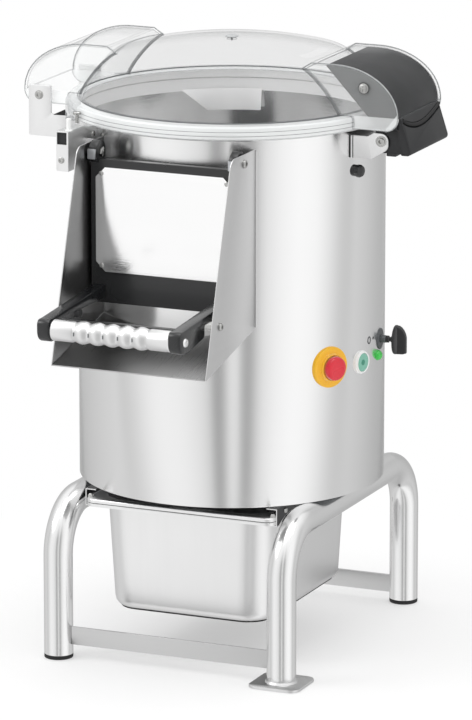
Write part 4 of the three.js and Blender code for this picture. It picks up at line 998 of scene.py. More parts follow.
# Drive
def grit_disc(look):
    low, high = span("abrasive_disc")
    radius, top, hub, bore = high.x, high.z - 8.0, 28.0, 12.3
    profile = [(bore, low.z), (radius - 2, low.z), (radius, low.z + 2), (radius, top - 3), (radius - 3, top),
               (hub + 3, top), (hub, top + 4), (hub - 3, high.z), (bore, high.z)]
    piece("grit_disc", "abrasive_disc", lathe(profile, INNER_STEPS), look)
    turns = [math.pi * i / 12 for i in range(13)]
    waves = []
    for middle in (-95, 95):
        loops = []
        for share in [i / 12 for i in range(13)]:
            rise = 7.9 * math.sin(math.pi * share) ** 0.6 if 0 < share < 1 else 0.05
            wide = 17 * (0.6 + 0.4 * math.sin(math.pi * share))
            x = middle - 60 + 120 * share
            loops.append([(x, -wide * math.cos(t), top - 1 + (1 + rise) * math.sin(t)) for t in turns])
        waves.append(loft(loops))
    pieces("grit_wave", "abrasive_disc", waves, look, sharp=50)


def shaft_profile(radius, low, high):
    return [(0, low), (radius - 1, low), (radius, low + 1), (radius, high - 1), (radius - 1, high), (0, high)]


def housing_profile(radius, low, high):
    body, bore = radius - 18, 12.6
    return [(bore, low), (body - 2, low), (body, low + 2), (body, high - 14), (body + 6, high - 7),
            (radius - 2, high - 6), (radius, high - 4), (radius, high), (bore, high)]


def pulley_profile(bore):
    def profile(radius, low, high):
        groove = radius - 2
        return [(bore, low), (radius - 1, low), (radius, low + 1), (radius, low + 2.7), (groove, low + 2.8),
                (groove, high - 2.8), (radius, high - 2.7), (radius, high - 1), (radius - 1, high),
                (bore, high)]
    return profile


def motor_profile(radius, low, high):
    bore, wall = 10.1, radius - 2.5
    line = [(bore, low), (radius - 8, low), (wall, low + 6)]
    for base in [low + 12 + step * (high - low - 24) / 9 for step in range(9)]:
        line += [(wall, base), (radius, base + 1), (radius, base + 6), (wall, base + 7)]
    return line + [(wall, high - 6), (radius - 6, high), (0, high), (0, low + 40), (bore, low + 40)]


def drive_parts(steel_look, cast, paint, rubber):
    upright_part("disc_shaft", "drive_shaft", steel_look, shaft_profile)
    upright_part("shaft_housing", "bearing_housing", cast, housing_profile, CAST_STEPS)
    upright_part("large_pulley", "drive_pulley", cast, pulley_profile(12.3), DIAL_STEPS)
    upright_part("small_pulley", "motor_pulley", cast, pulley_profile(9.8))
    upright_part("motor_spindle", "motor_shaft", steel_look, shaft_profile)
    upright_part("motor_case", "motor_body", paint, motor_profile, CAST_STEPS)
    kept("motor_plate", paint, 0.6)
    kept("drive_belt", rubber, 0.5)


# Chute
CHUTE_SHEET = 1.5


def floor_at(y):
    """The height of the chute's sloping floor at a place along it."""
    low, high = span("chute_floor")
    return low.z + (high.z - low.z - CHUTE_SHEET) / (high.y - low.y) * (y - low.y)


def chute_sides(look, inside):
    low, high = chute_low, chute_high
    outline = rounded([(low.y, low.z), (CHUTE_REAR, floor_at(CHUTE_REAR)), (CHUTE_REAR, high.z),
                       (-DRUM_RADIUS - 47, high.z, 14)])
    holes = [circle((PIVOT.y, PIVOT.z), 4.3, HOLE_STEPS), circle((PIN.y, PIN.z), 3.3, HOLE_STEPS)]
    panels = pair(fitted(across_x(outline, low.x, high.x, 0.5, holes)))
    for node, panel, inward in zip(("chute_side_right", "chute_side_left"), panels, (-1, 1)):
        made = piece(node + "_panel", node, panel, look)
        # Painted shade: each side's inner face takes the darker steel
        painted(made, [inside], lambda place, normal: normal.x * inward > 0.95)


def chute_beads(look):
    """The weld beads where the chute's sides meet the drum."""
    x, y = chute_high.x + 0.4, CHUTE_REAR - 0.8
    line = pipe([(x, y, floor_at(CHUTE_REAR) + 1), (x, y, chute_high.z - 0.5)], 1.2, steps=BEAD_STEPS)
    for index, (side, bead) in enumerate(zip(("right", "left"), pair(line))):
        piece("chute_bead_%d" % index, "chute_side_" + side, bead, look, sharp=60)


def chute_base(look):
    low, high = span("chute_floor")
    rear = floor_at(high.y)
    outline = [(low.y, low.z), (high.y, rear), (high.y, rear + CHUTE_SHEET), (low.y, low.z + CHUTE_SHEET)]
    piece("chute_base", "chute_floor", fitted(across_x(outline, low.x, high.x, 0.35)), look)


def door_pivots(look):
    """The bolts that the door swings on."""
    for side, out in (("left", LEFT), ("right", RIGHT)):
        node = "door_pivot_" + side
        inner, outer = reach_of(node)
        profile = [(0, inner), (3.5, inner), (4, inner + 0.5), (4, outer - 3), (5.5, outer - 3),
                   (5.5, outer - 1.2), (4.675, outer - 0.2), (3.85, outer), (2.75, outer),
                   (2.75, outer - 1.8), (0, outer - 1.8)]
        piece(node + "_bolt", node, facing(lathe(profile, SMALL_STEPS), out, (0, PIVOT.y, PIVOT.z)), look)


def catch_pins(look, dark):
    """The pins that the handle rests on."""
    face = chute_high.x + WELD_GAP
    for side, out in (("left", LEFT), ("right", RIGHT)):
        node = "catch_pin_" + side
        inner, outer = reach_of(node)
        profile = [(0, inner), (5, inner), (6, inner + 1), (6, face - 2), (3, face - 2), (3, face), (5, face),
                   (5, outer - 1), (4, outer), (2.2, outer), (2.2, outer - 1.6), (0, outer - 1.6)]
        made = piece(node + "_pin", node, facing(lathe(profile, SMALL_STEPS), out, (0, PIN.y, PIN.z)), look)
        # Painted shade: the left pin's end inside the chute takes the satin black
        painted(made, [dark], lambda place, normal: side == "left" and place.x > -chute_high.x - 1)


# Door and handle
def door_slab(look):
    outline = rectangle(door_low.x, door_low.z, door_high.x, plate_high.z + 10, 2.5)
    plate = across_y(outline, plate_high.y + WELD_GAP, span("door_gasket")[0].y - WELD_GAP, 1.0)
    ring, hole, end = circle((PIVOT.y, PIVOT.z), 15), circle((PIVOT.y, PIVOT.z), 4.6, HOLE_STEPS), door_high.x
    ears = [across_x(ring, low, low + 11, 0.8, [hole]) for low in (-end, end - 11)]
    piece("door_slab", "door_body", united(plate, *ears), look)


def door_lugs(look, screw):
    """The bright lugs and nuts on the door's ears."""
    end = door_high.x - 10.6
    lug = box_shape((end, PIVOT.y - 17.0, PIVOT.z - 7.5), (door_high.x, PIVOT.y - 10.0, PIVOT.z + 5.5), 0.8)
    nut = facing(flipped(hex_head(6.4, 4.0)), RIGHT, (end, PIVOT.y, PIVOT.z))
    for index, (one, other) in enumerate(zip(pair(lug), pair(nut))):
        piece("door_lug_%d" % index, "door_body", one, look)
        piece("door_nut_%d" % index, "door_body", other, screw)


def door_seal(look):
    low, high = span("door_gasket")
    hole = rectangle(low.x + 7, low.z + 7, high.x - 7, high.z - 7, 4)
    shape = across_y(rectangle(low.x, low.z, high.x, high.z, 5), low.y, high.y, 0.4, [hole])
    piece("door_seal", "door_gasket", shape, look)


def door_cover(look, screw):
    low, high, cut, reach = plate_low, plate_high, 13.0, 8.0
    corners = [(low.x + cut, low.z), (high.x - cut, low.z), (high.x, low.z + cut), (high.x, high.z - cut),
               (high.x - cut, high.z), (low.x + cut, high.z), (low.x, high.z - cut), (low.x, low.z + cut)]
    piece("door_cover", "door_plate", across_y(corners, low.y, high.y, 0.5), look)
    spots = [(x, z) for z in (high.z - reach, low.z + reach) for x in (low.x + reach, high.x - reach)]
    heads = [facing(screw_head(3.2, 1.5), FRONT, (x, low.y + 0.4, z)) for x, z in spots]
    pieces("door_cover_screw", "door_plate", heads, screw)


def handle_arms(look):
    high = span("handle_frame")[1]
    end, root, notch = 15.0, PIN.z + 6 + WELD_GAP, PIN.y - 26
    outline = rounded([
        (GRIP.y - end, GRIP.z - end, end), (GRIP.y + end, GRIP.z - end, 6), (notch, root - 15, 5),
        (notch, root, 3), (high.y, root), (high.y, high.z, 3),
        (GRIP.y, GRIP.z + end, 8), (GRIP.y - end, GRIP.z + end, end)])
    arms = pair(across_x(outline, high.x - 17, high.x, 2.2))
    front = GRIP.y + GRIP_RADIUS + 6.6
    bar = box_shape((-high.x + 5, front, GRIP.z - 10), (high.x - 5, front + 10, GRIP.z + 10), 2.0)
    piece("handle_arms", "handle_frame", united(*arms, bar), look, sharp=40)


def grip_sleeve(look):
    end, radius, swell, count = half("handle_grip").x, GRIP_RADIUS, 1.25, 5
    start = -count * SWELL_PITCH / 2
    profile = [(5, -end), (radius - 1, -end), (radius, -end + 1), (radius, start - 3)]
    for share in [i / 12 for i in range(count * 12 + 1)]:
        wave = 0.5 - 0.5 * math.cos(2 * math.pi * share)
        profile.append((radius - swell + 2 * swell * wave ** 0.7, start + share * SWELL_PITCH))
    profile += [(radius, -start + 3), (radius, end - 1), (radius - 1, end), (5, end)]
    piece("grip_sleeve", "handle_grip", facing(lathe(profile, DIAL_STEPS), RIGHT, (0, GRIP.y, GRIP.z)), look)


def grip_marks(look):
    """Short dark marks on the grip between its swells, painted shade for small cuts there."""
    mark = box_shape((-0.5, -0.5, -2.4), (0.5, 0.5, 2.4), 0.2)
    marks = [shifted(mark, -48 + SWELL_PITCH * i, GRIP.y - 13, GRIP.z) for i in range(5)]
    pieces("grip_shade_mark", "handle_grip", marks, look)


def grip_screws(look):
    profile = [(0, -5), (4, -5), (4, 0), (5.5, 0), (5.5, 1.4), (4.6, 2.5), (2.6, 2.5), (2.6, 1.0), (0, 1.0)]
    head = shifted(lathe(profile, SMALL_STEPS), z=span("handle_rod")[1].x - 2.5)
    heads = [facing(head, out, (0, GRIP.y, GRIP.z)) for out in (RIGHT, LEFT)]
    pieces("grip_screw", "handle_rod", heads, look)


# Lid
def dome_profile(inward, base):
    foot, shoulder = 196.0 - inward, 151.0 - inward / 2
    shoulder_z, crown = RIM_TOP + 57 - inward, CROWN - inward
    profile = [(0, base), (foot, base), (foot, RIM_TOP)]
    for turn in [math.radians(4.5 * i) for i in range(1, 21)]:
        out = (foot - shoulder) * max(0.0, math.cos(turn)) ** DOME_BEND
        profile.append((shoulder + out, RIM_TOP + (shoulder_z - RIM_TOP) * math.sin(turn) ** DOME_BEND))
    for share in [1 - i / 12 for i in range(1, 13)]:
        profile.append((shoulder * share, crown - (crown - shoulder_z) * share * share))
    return profile


def ear_back(inward):
    """The rounded outside of an ear, from its side up to its top."""
    wide, tall = EAR_SIDE - inward - EAR_FLAT, EAR_TOP - inward - RIM_TOP - 2
    return arc((EAR_FLAT, RIM_TOP + 2), (wide, tall), 0, 90, 24)


def ear_outline(inward):
    top, tip, corner = EAR_TOP - inward, EAR_FLAT - 33.0, 17.0
    bend = EAR_SIDE - inward - corner
    line = [(tip - 64, EAR_BASE), (bend, EAR_BASE)] + arc((bend, EAR_BASE + corner), corner, -90, 0)
    return line + ear_back(inward) + [(tip, top), (tip - 14, top - 9), (tip - 64, top - 9)]


def lid_ear():
    inner = EAR_HALF - LID_WALL
    hollow = across_y(ear_outline(LID_WALL), -inner, inner)
    mouth = box_shape((0, -inner, EAR_BASE - 6), (270, inner, EAR_BASE + 17))
    return carved(across_y(ear_outline(0), -EAR_HALF, EAR_HALF, 1.3), hollow, mouth)


def lid_finish(place, normal):
    """Which of the lid's finishes a face takes: 0 dome, 1 ear's cheek, 2 ear, 3 rim. The cheek's and the
    rim's are paler copies of the plastic, painted light, and the rim's gives off a painted glow.
    """
    away, side, flat = math.hypot(place.x, place.y), abs(place.x), abs(normal.y)
    outside = away > 197 and place.z > RIM_TOP + 0.2
    above = place.z > CROWN - 12 and side > EAR_TIP - 15
    if abs(place.y) < 76 and (outside or above):
        return 1 if flat > 0.95 else 2
    if flat > 0.98 and side > EAR_TIP - 8 and place.z > RIM_TOP:
        return 1
    return 3 if place.z < RIM_TOP + 0.4 and away > 196 else 0


def lid_shell(look, cheek, ear, rim):
    bottom, web, reach, steps = RIM_BOTTOM, RIM_TOP - 4.0, DRUM_RADIUS + 13.0, LID_STEPS
    outer = [(0, bottom), (reach - 1.5, bottom), (reach, bottom + 1.5)]
    for height in (bottom + 5.0, bottom + 10.5):
        outer += [(reach, height), (reach - 0.25, height + 1), (reach, height + 2)]
    outer += [(reach, RIM_TOP - 3.5), (reach - 0.6, RIM_TOP - 1.6), (reach - 1.8, RIM_TOP - 0.4),
              (reach - 3.6, RIM_TOP), (198, RIM_TOP), (196.6, RIM_TOP + 0.5)]
    body = lathe(outer + dome_profile(0, web)[3:], steps)
    inner = [(0, bottom - 6), (reach - LID_WALL, bottom - 6), (reach - LID_WALL, web)]
    hollow = lathe(inner + dome_profile(LID_WALL, web)[1:], steps)
    room = rod(reach - 1.5, bottom - 20, RIM_TOP, steps)
    ears = [carved(shape, room) for shape in pair(lid_ear())]
    shape = carved(united(body, *ears), hollow, rod(6.3, RIM_TOP, CROWN + 9, SMALL_STEPS))
    made = piece("lid_shell", "lid_dome", shape, look, sharp=30)
    painted(made, [cheek, ear, rim], lid_finish)


def at_cheeks(shape, depth):
    """Puts a shape at the two cheeks of both ears."""
    return [shifted(one, y=y) for one in pair(shape) for y in (-depth, depth)]


def lid_seams(look, print_and_shade_ink):
    """The cement beads where the ears' cheeks meet the dome, and at the dome's foot, and the rim's lines:
    thin dark rings in the print ink, painted shade on the rim's top and in its two grooves.
    """
    run = [(radius, height) for radius, height in dome_profile(0, RIM_TOP)[2:] if radius > 148]
    path = [(math.sqrt(radius ** 2 - EAR_HALF ** 2), 0, height) for radius, height in run]
    line = pipe(path, 1.9, steps=12, across=BACK)
    pieces("lid_seam", "lid_dome", at_cheeks(line, EAR_HALF), look, sharp=60)
    piece("lid_foot_seam", "lid_dome", lathe(circle((197.4, RIM_TOP + 0.2), 0.8, 8)), look, sharp=60)
    # Painted shade: dark rings on the rim's top and in its two grooves
    reach = DRUM_RADIUS + 12.65
    rings = ((199.6, RIM_TOP + 0.1, 0.6), (reach, RIM_TOP - 8.0, 0.34), (reach, RIM_TOP - 13.4, 0.34))
    lines = [lathe(circle((radius, height), size, 6), LID_STEPS) for radius, height, size in rings]
    pieces("lid_shade_line", "lid_dome", lines, print_and_shade_ink, sharp=60)


def cheek_beads(look):
    """The rolled edges of the ears' cheeks, made pale as a painted highlight along their outline."""
    line = pipe([(x, 0, z) for x, z in ear_outline(0.9)[1:-1]], 0.85, steps=12, across=BACK)
    pieces("cheek_bead", "lid_dome", at_cheeks(line, 74.2), look, sharp=60)


def front_and_back(shape, x, y, z):
    """Puts a shape on a front face and on a rear one, looking outwards."""
    return [facing(shape, out, (x, out[1] * y, z)) for out in (FRONT, BACK)]


def lid_screws(look, dark):
    """The screws through the right ear's cheeks into the hinge block."""
    head = lathe([(0, 0), (6.6, 0), (6.6, 0.6), (5.4, 0.8), (5.0, 2.2), (3.6, 2.9), (0, 3.0)], SMALL_STEPS)
    slots = [box_shape((-u, -v, 1.4), (u, v, 3.6)) for u, v in ((3.8, 0.7), (0.7, 3.8))]
    washer = lathe([(6.0, -0.2), (7.6, -0.2), (7.6, 0.3), (6.0, 0.3)], SMALL_STEPS)
    place = (215.0, EAR_HALF + 0.2, 759.0)
    heads, washers = [front_and_back(shape, *place) for shape in (carved(head, *slots), washer)]
    for index, (one, other) in enumerate(zip(heads, washers)):
        piece("lid_screw_%d" % index, "lid_dome", one, look, sharp=40, finish="hinge_pin")
        piece("lid_washer_%d" % index, "lid_dome", other, dark, finish="lid_stop")


def lid_gasket(look):
    low, high = span("lid_seal")
    outer, inner = high.x, high.x - 13.7
    profile = [(inner + 1, low.z), (outer - 2, low.z), (outer, low.z + 2), (outer, high.z), (inner, high.z),
               (inner, low.z + 1)]
    piece("lid_gasket", "lid_seal", lathe(profile), look)


def plug_profile(radius, low, high):
    return [(0, low), (0.5, low), (1.5, low + 1), (1.5, high - 2), (radius, high - 2), (radius, high - 1.2),
            (0.8 * radius, high - 0.2), (0.5 * radius, high), (0, high)]


# Hinge
def hinge_body(look, crease_shade):
    low, high = span("hinge_block")
    inward = LID_WALL + WELD_GAP
    side, top, shoulder, foot = EAR_SIDE - inward, EAR_TOP - inward, HINGE.z + 18, HINGE.x - 9.5
    edge, plate_top = high.x - 15.7, RIM_TOP + 0.7
    upper = [(EAR_FLAT - 15, top), (foot + 9, shoulder), (side, shoulder)] + ear_back(inward)
    upper = across_y(upper, low.y, high.y, 1.0)
    neck = box_shape((foot, -57, low.z), (edge + 0.3, 57, shoulder + 0.6), 1.0)
    plate = rounded([(high.x - 16, low.z, 2), (high.x, low.z, 6), (edge, plate_top, 5),
                     (side - LID_WALL, plate_top), (side - LID_WALL, shoulder)])
    plate = across_y(plate, -66, 66, 2.5)
    sag = []
    for share in [i / 24 for i in range(25)]:
        drop = 3.0 + 12.0 * math.sin(math.pi * share ** 0.75)
        lean = 15.7 * drop / (plate_top - low.z)
        sag.append((edge + lean + 1.2, -62 + 126 * share, plate_top - drop))
    body = carved(united(upper, neck, plate), pipe(sag, 4.2, steps=BEAD_STEPS))
    piece("hinge_body", "hinge_block", body, look, sharp=30)
    # Painted shade: a darker rubber strip in the groove, for the shade in the sagging crease
    groove = pipe([(x - 2.2, y, z) for x, y, z in sag], 2.6, steps=BEAD_STEPS)
    piece("hinge_crease", "hinge_block", groove, crease_shade, sharp=60)
    pad = box_shape((HINGE.x + 6, -57.5, low.z - 3.5), (HINGE.x + 19, -43.5, low.z + 1), 1.2)
    piece("hinge_pad", "hinge_block", joined(pad, shifted(pad, y=101)), look)


def hinge_brackets(look):
    nose, foot, top = 10.0, BRACKET_FOOT, BRACKET_TOP
    outline = rounded([
        (100, foot), (HINGE.x - 13.5, foot, 2), (HINGE.x + nose, HINGE.z - nose, nose),
        (HINGE.x + nose, HINGE.z + nose, nose), (HINGE.x - nose, HINGE.z + nose, 3),
        (HINGE.x - 18.5, top), (100, top)])
    hole = circle((HINGE.x, HINGE.z), 4.3, HOLE_STEPS)
    for node in ("hinge_bracket_front", "hinge_bracket_rear"):
        low, high = span(node)
        piece(node + "_web", node, fitted(across_y(outline, low.y, high.y, 0.6, [hole])), look)


def hinge_flanges(dark, look):
    """The folded feet of the hinge brackets, against the drum: a pale fold between two thin satin black rods,
    which are painted shade lines.
    """
    faces = (span("hinge_bracket_front")[0].y, span("hinge_bracket_rear")[1].y)
    # The two dark rods are painted shade lines beside the fold
    folds = ((0.6, 0.6, dark), (2.6, 1.3, look), (4.4, 0.5, dark))
    for index, (side, face) in enumerate(zip(("front", "rear"), faces)):
        foot = math.sqrt(DRUM_RADIUS ** 2 - face ** 2)
        for number, (out, radius, finish) in enumerate(folds):
            x = foot + out
            line = pipe([(x, face, BRACKET_FOOT), (x, face, BRACKET_TOP)], radius, steps=BEAD_STEPS)
            piece("hinge_flange_%d_%d" % (index, number), "hinge_bracket_" + side, line, finish, sharp=60)


def hinge_axle(look):
    end = half("hinge_pin").y
    head = [(2.6, -3), (7.2, -3), (7.2, -2.3), (5.2, -2.2), (5.2, -0.8), (4.6, -0.1), (2.6, -0.1)]
    head = shifted(lathe(head, SMALL_STEPS), z=end)
    both = joined(rod(4, 2.8 - end, end - 2.8, SMALL_STEPS), head, flipped(head))
    piece("hinge_axle", "hinge_pin", facing(both, FRONT, (HINGE.x, 0, HINGE.z)), look)


def lid_buffer(look):
    profile = [(0, -1), (7.5, -1), (7.5, 11.8), (6.9, 13.2), (5.6, 13.8), (0, 13.8)]
    shape = joined(lathe(profile, SMALL_STEPS), shifted(hex_head(8.2, 7.0), z=5.5))
    shape = on_drum(shifted(shape, z=DRUM_RADIUS), BUFFER_ANGLE, centre("lid_stop").z)
    piece("lid_buffer", "lid_stop", shape, look)


# Strap and safety switch
def ear_strap(look, screw, rubber):
    low, high = span("latch_strap")
    left, sheet, foot_top = low.x, 3.0, low.z + 30
    foot, upright, near = left + 54, left + 32, high.y - sheet
    outline = rounded([(left, low.z, 2), (foot, low.z, 2), (foot, foot_top, 2), (upright, foot_top, 2),
                       (upright, high.z, 2), (left, high.z, 2)])
    sides = [across_y(outline, -high.y, -near, 0.5), across_y(outline, near, high.y, 0.5)]
    bottom = box_shape((left, low.y + 1, low.z), (left + 37, high.y - 1, low.z + sheet), 0.5)
    piece("ear_strap", "latch_strap", united(*sides, bottom), look)
    # Painted shade: a black rubber wedge in the strap's corner, for a dark gap
    gap_shade = [(left + 34, foot_top - 1), (foot, foot_top - 1), (foot, foot_top + 1), (foot - 3, foot_top + 7)]
    piece("strap_gap_shade", "latch_strap", across_y(gap_shade, -high.y, -near, 0.4), rubber, finish="lid_stop")
    profile = [(0, 0), (6.0, 0), (6.0, 0.6), (4.9, 0.7), (4.4, 1.9), (2.4, 2.3), (2.2, 1.0), (0, 1.0)]
    heads = front_and_back(lathe(profile, SMALL_STEPS), left + 15, high.y - 0.2, high.z - 13)
    pieces("strap_screw", "latch_strap", heads, screw, finish="hinge_pin")


def switch_parts(look, dark, screw, white):
    low, high = span("switch_bracket")
    sheet, web_x, rear_y, rear_top = 2.0, -118.0, -158.0, RIM_TOP - 22.0
    face = rounded([(low.x, low.z, 2), (web_x, low.z), (web_x, high.z), (low.x, high.z, 2)])
    window = rectangle(low.x + 1.2, high.z - 17.5, web_x - 2.4, high.z - 1.2, 0.6)
    front = across_y(face, low.y, low.y + sheet, 0.3, [window])
    outline = [(low.y, low.z), (high.y, low.z), (rear_y, rear_top - 14), (rear_y, rear_top),
               (high.y - 10, high.z), (low.y, high.z)]
    web = across_x(outline, web_x - sheet, web_x, 0.3)
    roof = box_shape((low.x, low.y, high.z - sheet), (web_x, high.y - 10, high.z), 0.3)
    tab = box_shape((web_x - sheet, high.y - 2, low.z), (high.x, high.y, chute_high.z), 0.3)
    piece("switch_plate", "switch_bracket", fitted(united(front, web, roof, tab)), look)
    head = screw_head(4.0, 1.8, 1.8)
    heads = [facing(head, FRONT, (low.x + 7.0, low.y, low.z + 14.0)),
             facing(head, RIGHT, (web_x - 0.2, rear_y - 15, rear_top - 7))]
    pieces("switch_screw", "switch_bracket", heads, screw, finish="hinge_pin")
    post = [(0, 0), (5.2, 0), (5.2, 1.4), (3.2, 2.0), (3.2, 15.4), (2.6, 16.2), (0, 16.4)]
    post = shifted(lathe(post, SMALL_STEPS), web_x - 2, low.y + 6, high.z - 0.2)
    piece("switch_post", "switch_bracket", post, white, finish="start_bezel")
    low, high = span("switch_sensor")
    piece("switch_case", "switch_sensor", box_shape(low, (high.x, high.y, high.z + 6), 0.8), dark)


def latch_parts(clear, screw):
    """The clear boss moulded beside the left ear, and its bolt."""
    boss = [(0, 0), (9.4, 0), (10, 0.8), (10, 24), (9.2, 28), (6.5, 31), (3, 32.4), (0, 32.8)]
    bolt = [(0, 0), (2.6, 0), (2.6, 11.0), (5.2, 11.2), (5.4, 12.0), (5.4, 14.0), (4.8, 14.8), (0, 14.8)]
    for name, profile, angle, away, base, look, finish in (
            ("latch_boss", boss, -48.0, 215.0, RIM_BOTTOM, clear, None),
            ("latch_bolt", bolt, -42.4, 217.0, RIM_BOTTOM - 1, screw, "hinge_pin")):
        turn = math.radians(angle)
        shape = shifted(lathe(profile, SMALL_STEPS), math.sin(turn) * away, -math.cos(turn) * away, base)
        piece(name, "lid_dome", shape, look, finish=finish)


# Controls
def stop_button(yellow, red):
    radius, face, collar = half("stop_button_base").z, 4.8, 18.0
    profile = [(6.6, -4), (11, -4), (11, -1.6), (radius, -1.6), (radius, face - 1.4),
               (radius - 0.5, face - 0.4), (radius - 1.6, face), (collar + 1, face), (collar, face + 1),
               (collar, face + 3.9), (collar - 0.6, face + 4.5), (collar - 1.4, face + 4.5),
               (collar - 2, face + 3.9), (collar - 2, face), (6.6, face)]
    wall_part("stop_disc", "stop_button_base", yellow, profile, STOP_ANGLE, DIAL_STEPS)
    head = [(0, -4), (6, -4), (6, 0), (14.6, 0), (15.2, 0.6), (15.4, 1.6), (15.4, 4.4), (15.0, 5.8),
            (14.0, 7.0), (12.4, 7.9), (9, 8.6), (4.5, 8.9), (0, 9)]
    head = [(r, face + 5.5 + out) for r, out in head]
    wall_part("stop_head", "stop_button_head", red, head, STOP_ANGLE, DIAL_STEPS)


def start_control(white, mint, deep):
    radius, face = half("start_bezel").z, 6.3
    profile = [(5.3, -4), (11, -4), (11, -0.5), (radius, -0.5), (radius, face - 2.6),
               (radius - 0.8, face - 2.0), (radius - 1.0, face - 0.9), (radius - 1.8, face), (12.9, face),
               (12.1, face - 0.8), (12.1, face - 5.6), (5.3, face - 5.6)]
    wall_part("start_ring", "start_bezel", white, profile, START_ANGLE, DIAL_STEPS)
    top = face - 0.6
    cap = [(0, -8), (5, -8), (5, top - 2.2), (11.8, top - 2.2), (11.8, top - 0.7), (11.3, top - 0.1),
           (10.4, top), (0, top - 0.5)]
    wall_part("start_cap", "start_button", mint, cap, START_ANGLE, DIAL_STEPS)
    mark = [(0, top - 0.9), (3.6, top - 0.9), (3.6, top + 0.1), (0, top + 0.1)]
    wall_part("start_mark", "start_button", deep, mark, START_ANGLE)


def lamp(look):
    radius, base = half("run_lamp").z, 0.9
    profile = [(0, -10), (4.5, -10), (4.5, -0.4), (radius, -0.4), (radius, base - 0.2), (radius - 0.2, base)]
    profile += arc((0, base), (0.96 * radius, 0.8 * radius), 0, 75, 5) + [(0, base + 0.8 * radius)]
    wall_part("lamp_lens", "run_lamp", look, profile, LAMP_ANGLE)


def timer_dial(look, print_and_shade_ink):
    height, radius, face = centre("timer_dial").z, half("timer_dial").z - 1.5, 1.2
    dial = [(5.3, -0.5), (radius, -0.5), (radius, face - 0.6), (radius - 0.6, face), (5.3, face)]
    wall_part("dial_disc", "timer_dial", look, dial, TIMER_ANGLE, DIAL_STEPS)
    ring = arc((0, 0), (4.8, 5.2), 0, 348, 29)
    skin = (DRUM_RADIUS - 0.2, DRUM_RADIUS + 0.12)
    zero = slab(ring, *skin, 0, [[(0.5 * u, 0.66 * v) for u, v in ring]])
    piece("zero_print", "drum_shell", on_drum(zero, TIMER_ANGLE - 12, height + 7), print_and_shade_ink)
    dot = slab(circle((0, 0), 2.2, HOLE_STEPS), *skin)
    piece("dot_print", "drum_shell", on_drum(dot, TIMER_ANGLE - 8.4, height + 7.5), print_and_shade_ink)
    marks = []
    for step in range(11):
        tall, level = 2.0 if step % 2 else 3.6, DRUM_RADIUS + face
        mark = box_shape((-0.5, radius - 1.6 - tall, level - 0.1), (0.5, radius - 1.6, level + 0.12))
        mark = moved(mark, Matrix.Rotation(math.radians(30 - 30 * step), 4, "Z"))
        marks.append(on_drum(mark, TIMER_ANGLE, height))
    pieces("dial_mark", "timer_dial", marks, print_and_shade_ink)


def timer_knob(dark, cast):
    back = 19.2
    skirt = [(0, -18), (3, -18), (3, -12), (4.6, -11.6), (4.6, -7.4), (3, -7), (3, -5), (3.8, -4.6), (3.8, 0),
             (18.2, 0), (19, 0.8), (19, 3), (18, 4), (14, 4.6), (0, 4.8)]
    skirt = [(radius, back + out) for radius, out in skirt]
    wall_part("knob_skirt", "timer_knob", dark, skirt, TIMER_ANGLE, DIAL_STEPS)
    levels = ((2, 5.6, 18.4), (6, 5.6, 17.8), (9, 5.4, 16), (12, 5.0, 12.6), (14.4, 4.4, 8), (15.6, 3.6, 4))
    loops = []
    for out, wide, top in levels:
        foot = -18.4 if out < 14 else -17.6
        loops.append([(u, v, DRUM_RADIUS + back + out) for u, v in rectangle(-wide, foot, wide, top, 1.6)])
    rib = on_drum(loft(loops), TIMER_ANGLE, centre("timer_dial").z)
    piece("knob_rib", "timer_knob", rib, dark, sharp=40)
    kept("timer_body", cast, 0.8)


# Services at the rear
def rear_services(dark, polished):
    gland = [(4, -7.7), (9, -7.7), (9, -0.3), (12, -0.3), (12, 8.3), (11, 9.3), (11.4, 10.3), (11.4, 17.3),
             (9.5, 21.3), (8, 22.3), (4, 22.3)]
    wall_part("gland_body", "cable_gland", dark, gland, GLAND_ANGLE)
    inlet = [(5.5, -15.7), (8, -15.7), (8, -0.5), (16, -0.5), (16, 2.7), (15.4, 3.3), (8.6, 3.3), (8, 4.3)]
    for base in [8.3 + 4 * step for step in range(7)]:
        inlet += [(8, base), (8, base + 2), (7.4, base + 3)]
    inlet += [(7.6, 38.3), (5.5, 38.3)]
    wall_part("inlet_pipe", "water_inlet", polished, inlet, INLET_ANGLE)


# Studio: floor, backdrop, lamps and camera
def studio_floor():
    net = bmesh.new()
    bmesh.ops.create_circle(net, cap_ends=True, segments=96, radius=14.0)
    mesh = bpy.data.meshes.new("studio_floor")
    net.to_mesh(mesh)
    net.free()
    look = bpy.data.materials.new("studio_floor")
    tree = bare_tree(look)
    away = add(tree, "VectorMath", {0: object_place(tree)}, operation="LENGTH").outputs["Value"]
    fade = spread(tree, away, 0.3, 0.72, 0.45, 1.0)
    seen = worked(tree, "MULTIPLY", fade, add(tree, "LightPath").outputs["Is Camera Ray"])
    paper = add(tree, "BsdfDiffuse", {"Color": (0.97, 0.97, 0.97, 1)})
    glow = add(tree, "Emission", {"Color": (1, 1, 1, 1), "Strength": 1.0})
    add(tree, "OutputMaterial", {0: mixed(tree, seen, paper, glow).outputs[0]})
    mesh.materials.append(look)
    ground = bpy.data.objects.new("studio_floor", mesh)
    bpy.context.scene.collection.objects.link(ground)
    ground.location = (0, 0, -0.0004)
    ground.visible_glossy = False


# What polished metal shows of the room: a seen brightness for each angle round from the front
ROOM_BANDS = [(-180, 176), (-134, 189), (-99, 208), (-79, 215), (-72, 198), (-60, 214), (-45, 237),
              (-36, 242), (-20, 240), (-10, 233), (1, 221), (6, 208), (9, 160), (15, 158), (18.5, 196),
              (22, 229), (27, 229), (30, 208), (33.5, 162), (39.5, 162), (43, 200), (49, 226), (61, 243),
              (76, 252), (92, 249), (103, 232), (117, 200), (127, 198), (130, 210), (151, 196), (168, 182),
              (180, 176)]
ROOM_METAL = 0.871
ROOM_GLOSS = 1.1
ROOM_LEVEL = 0.86


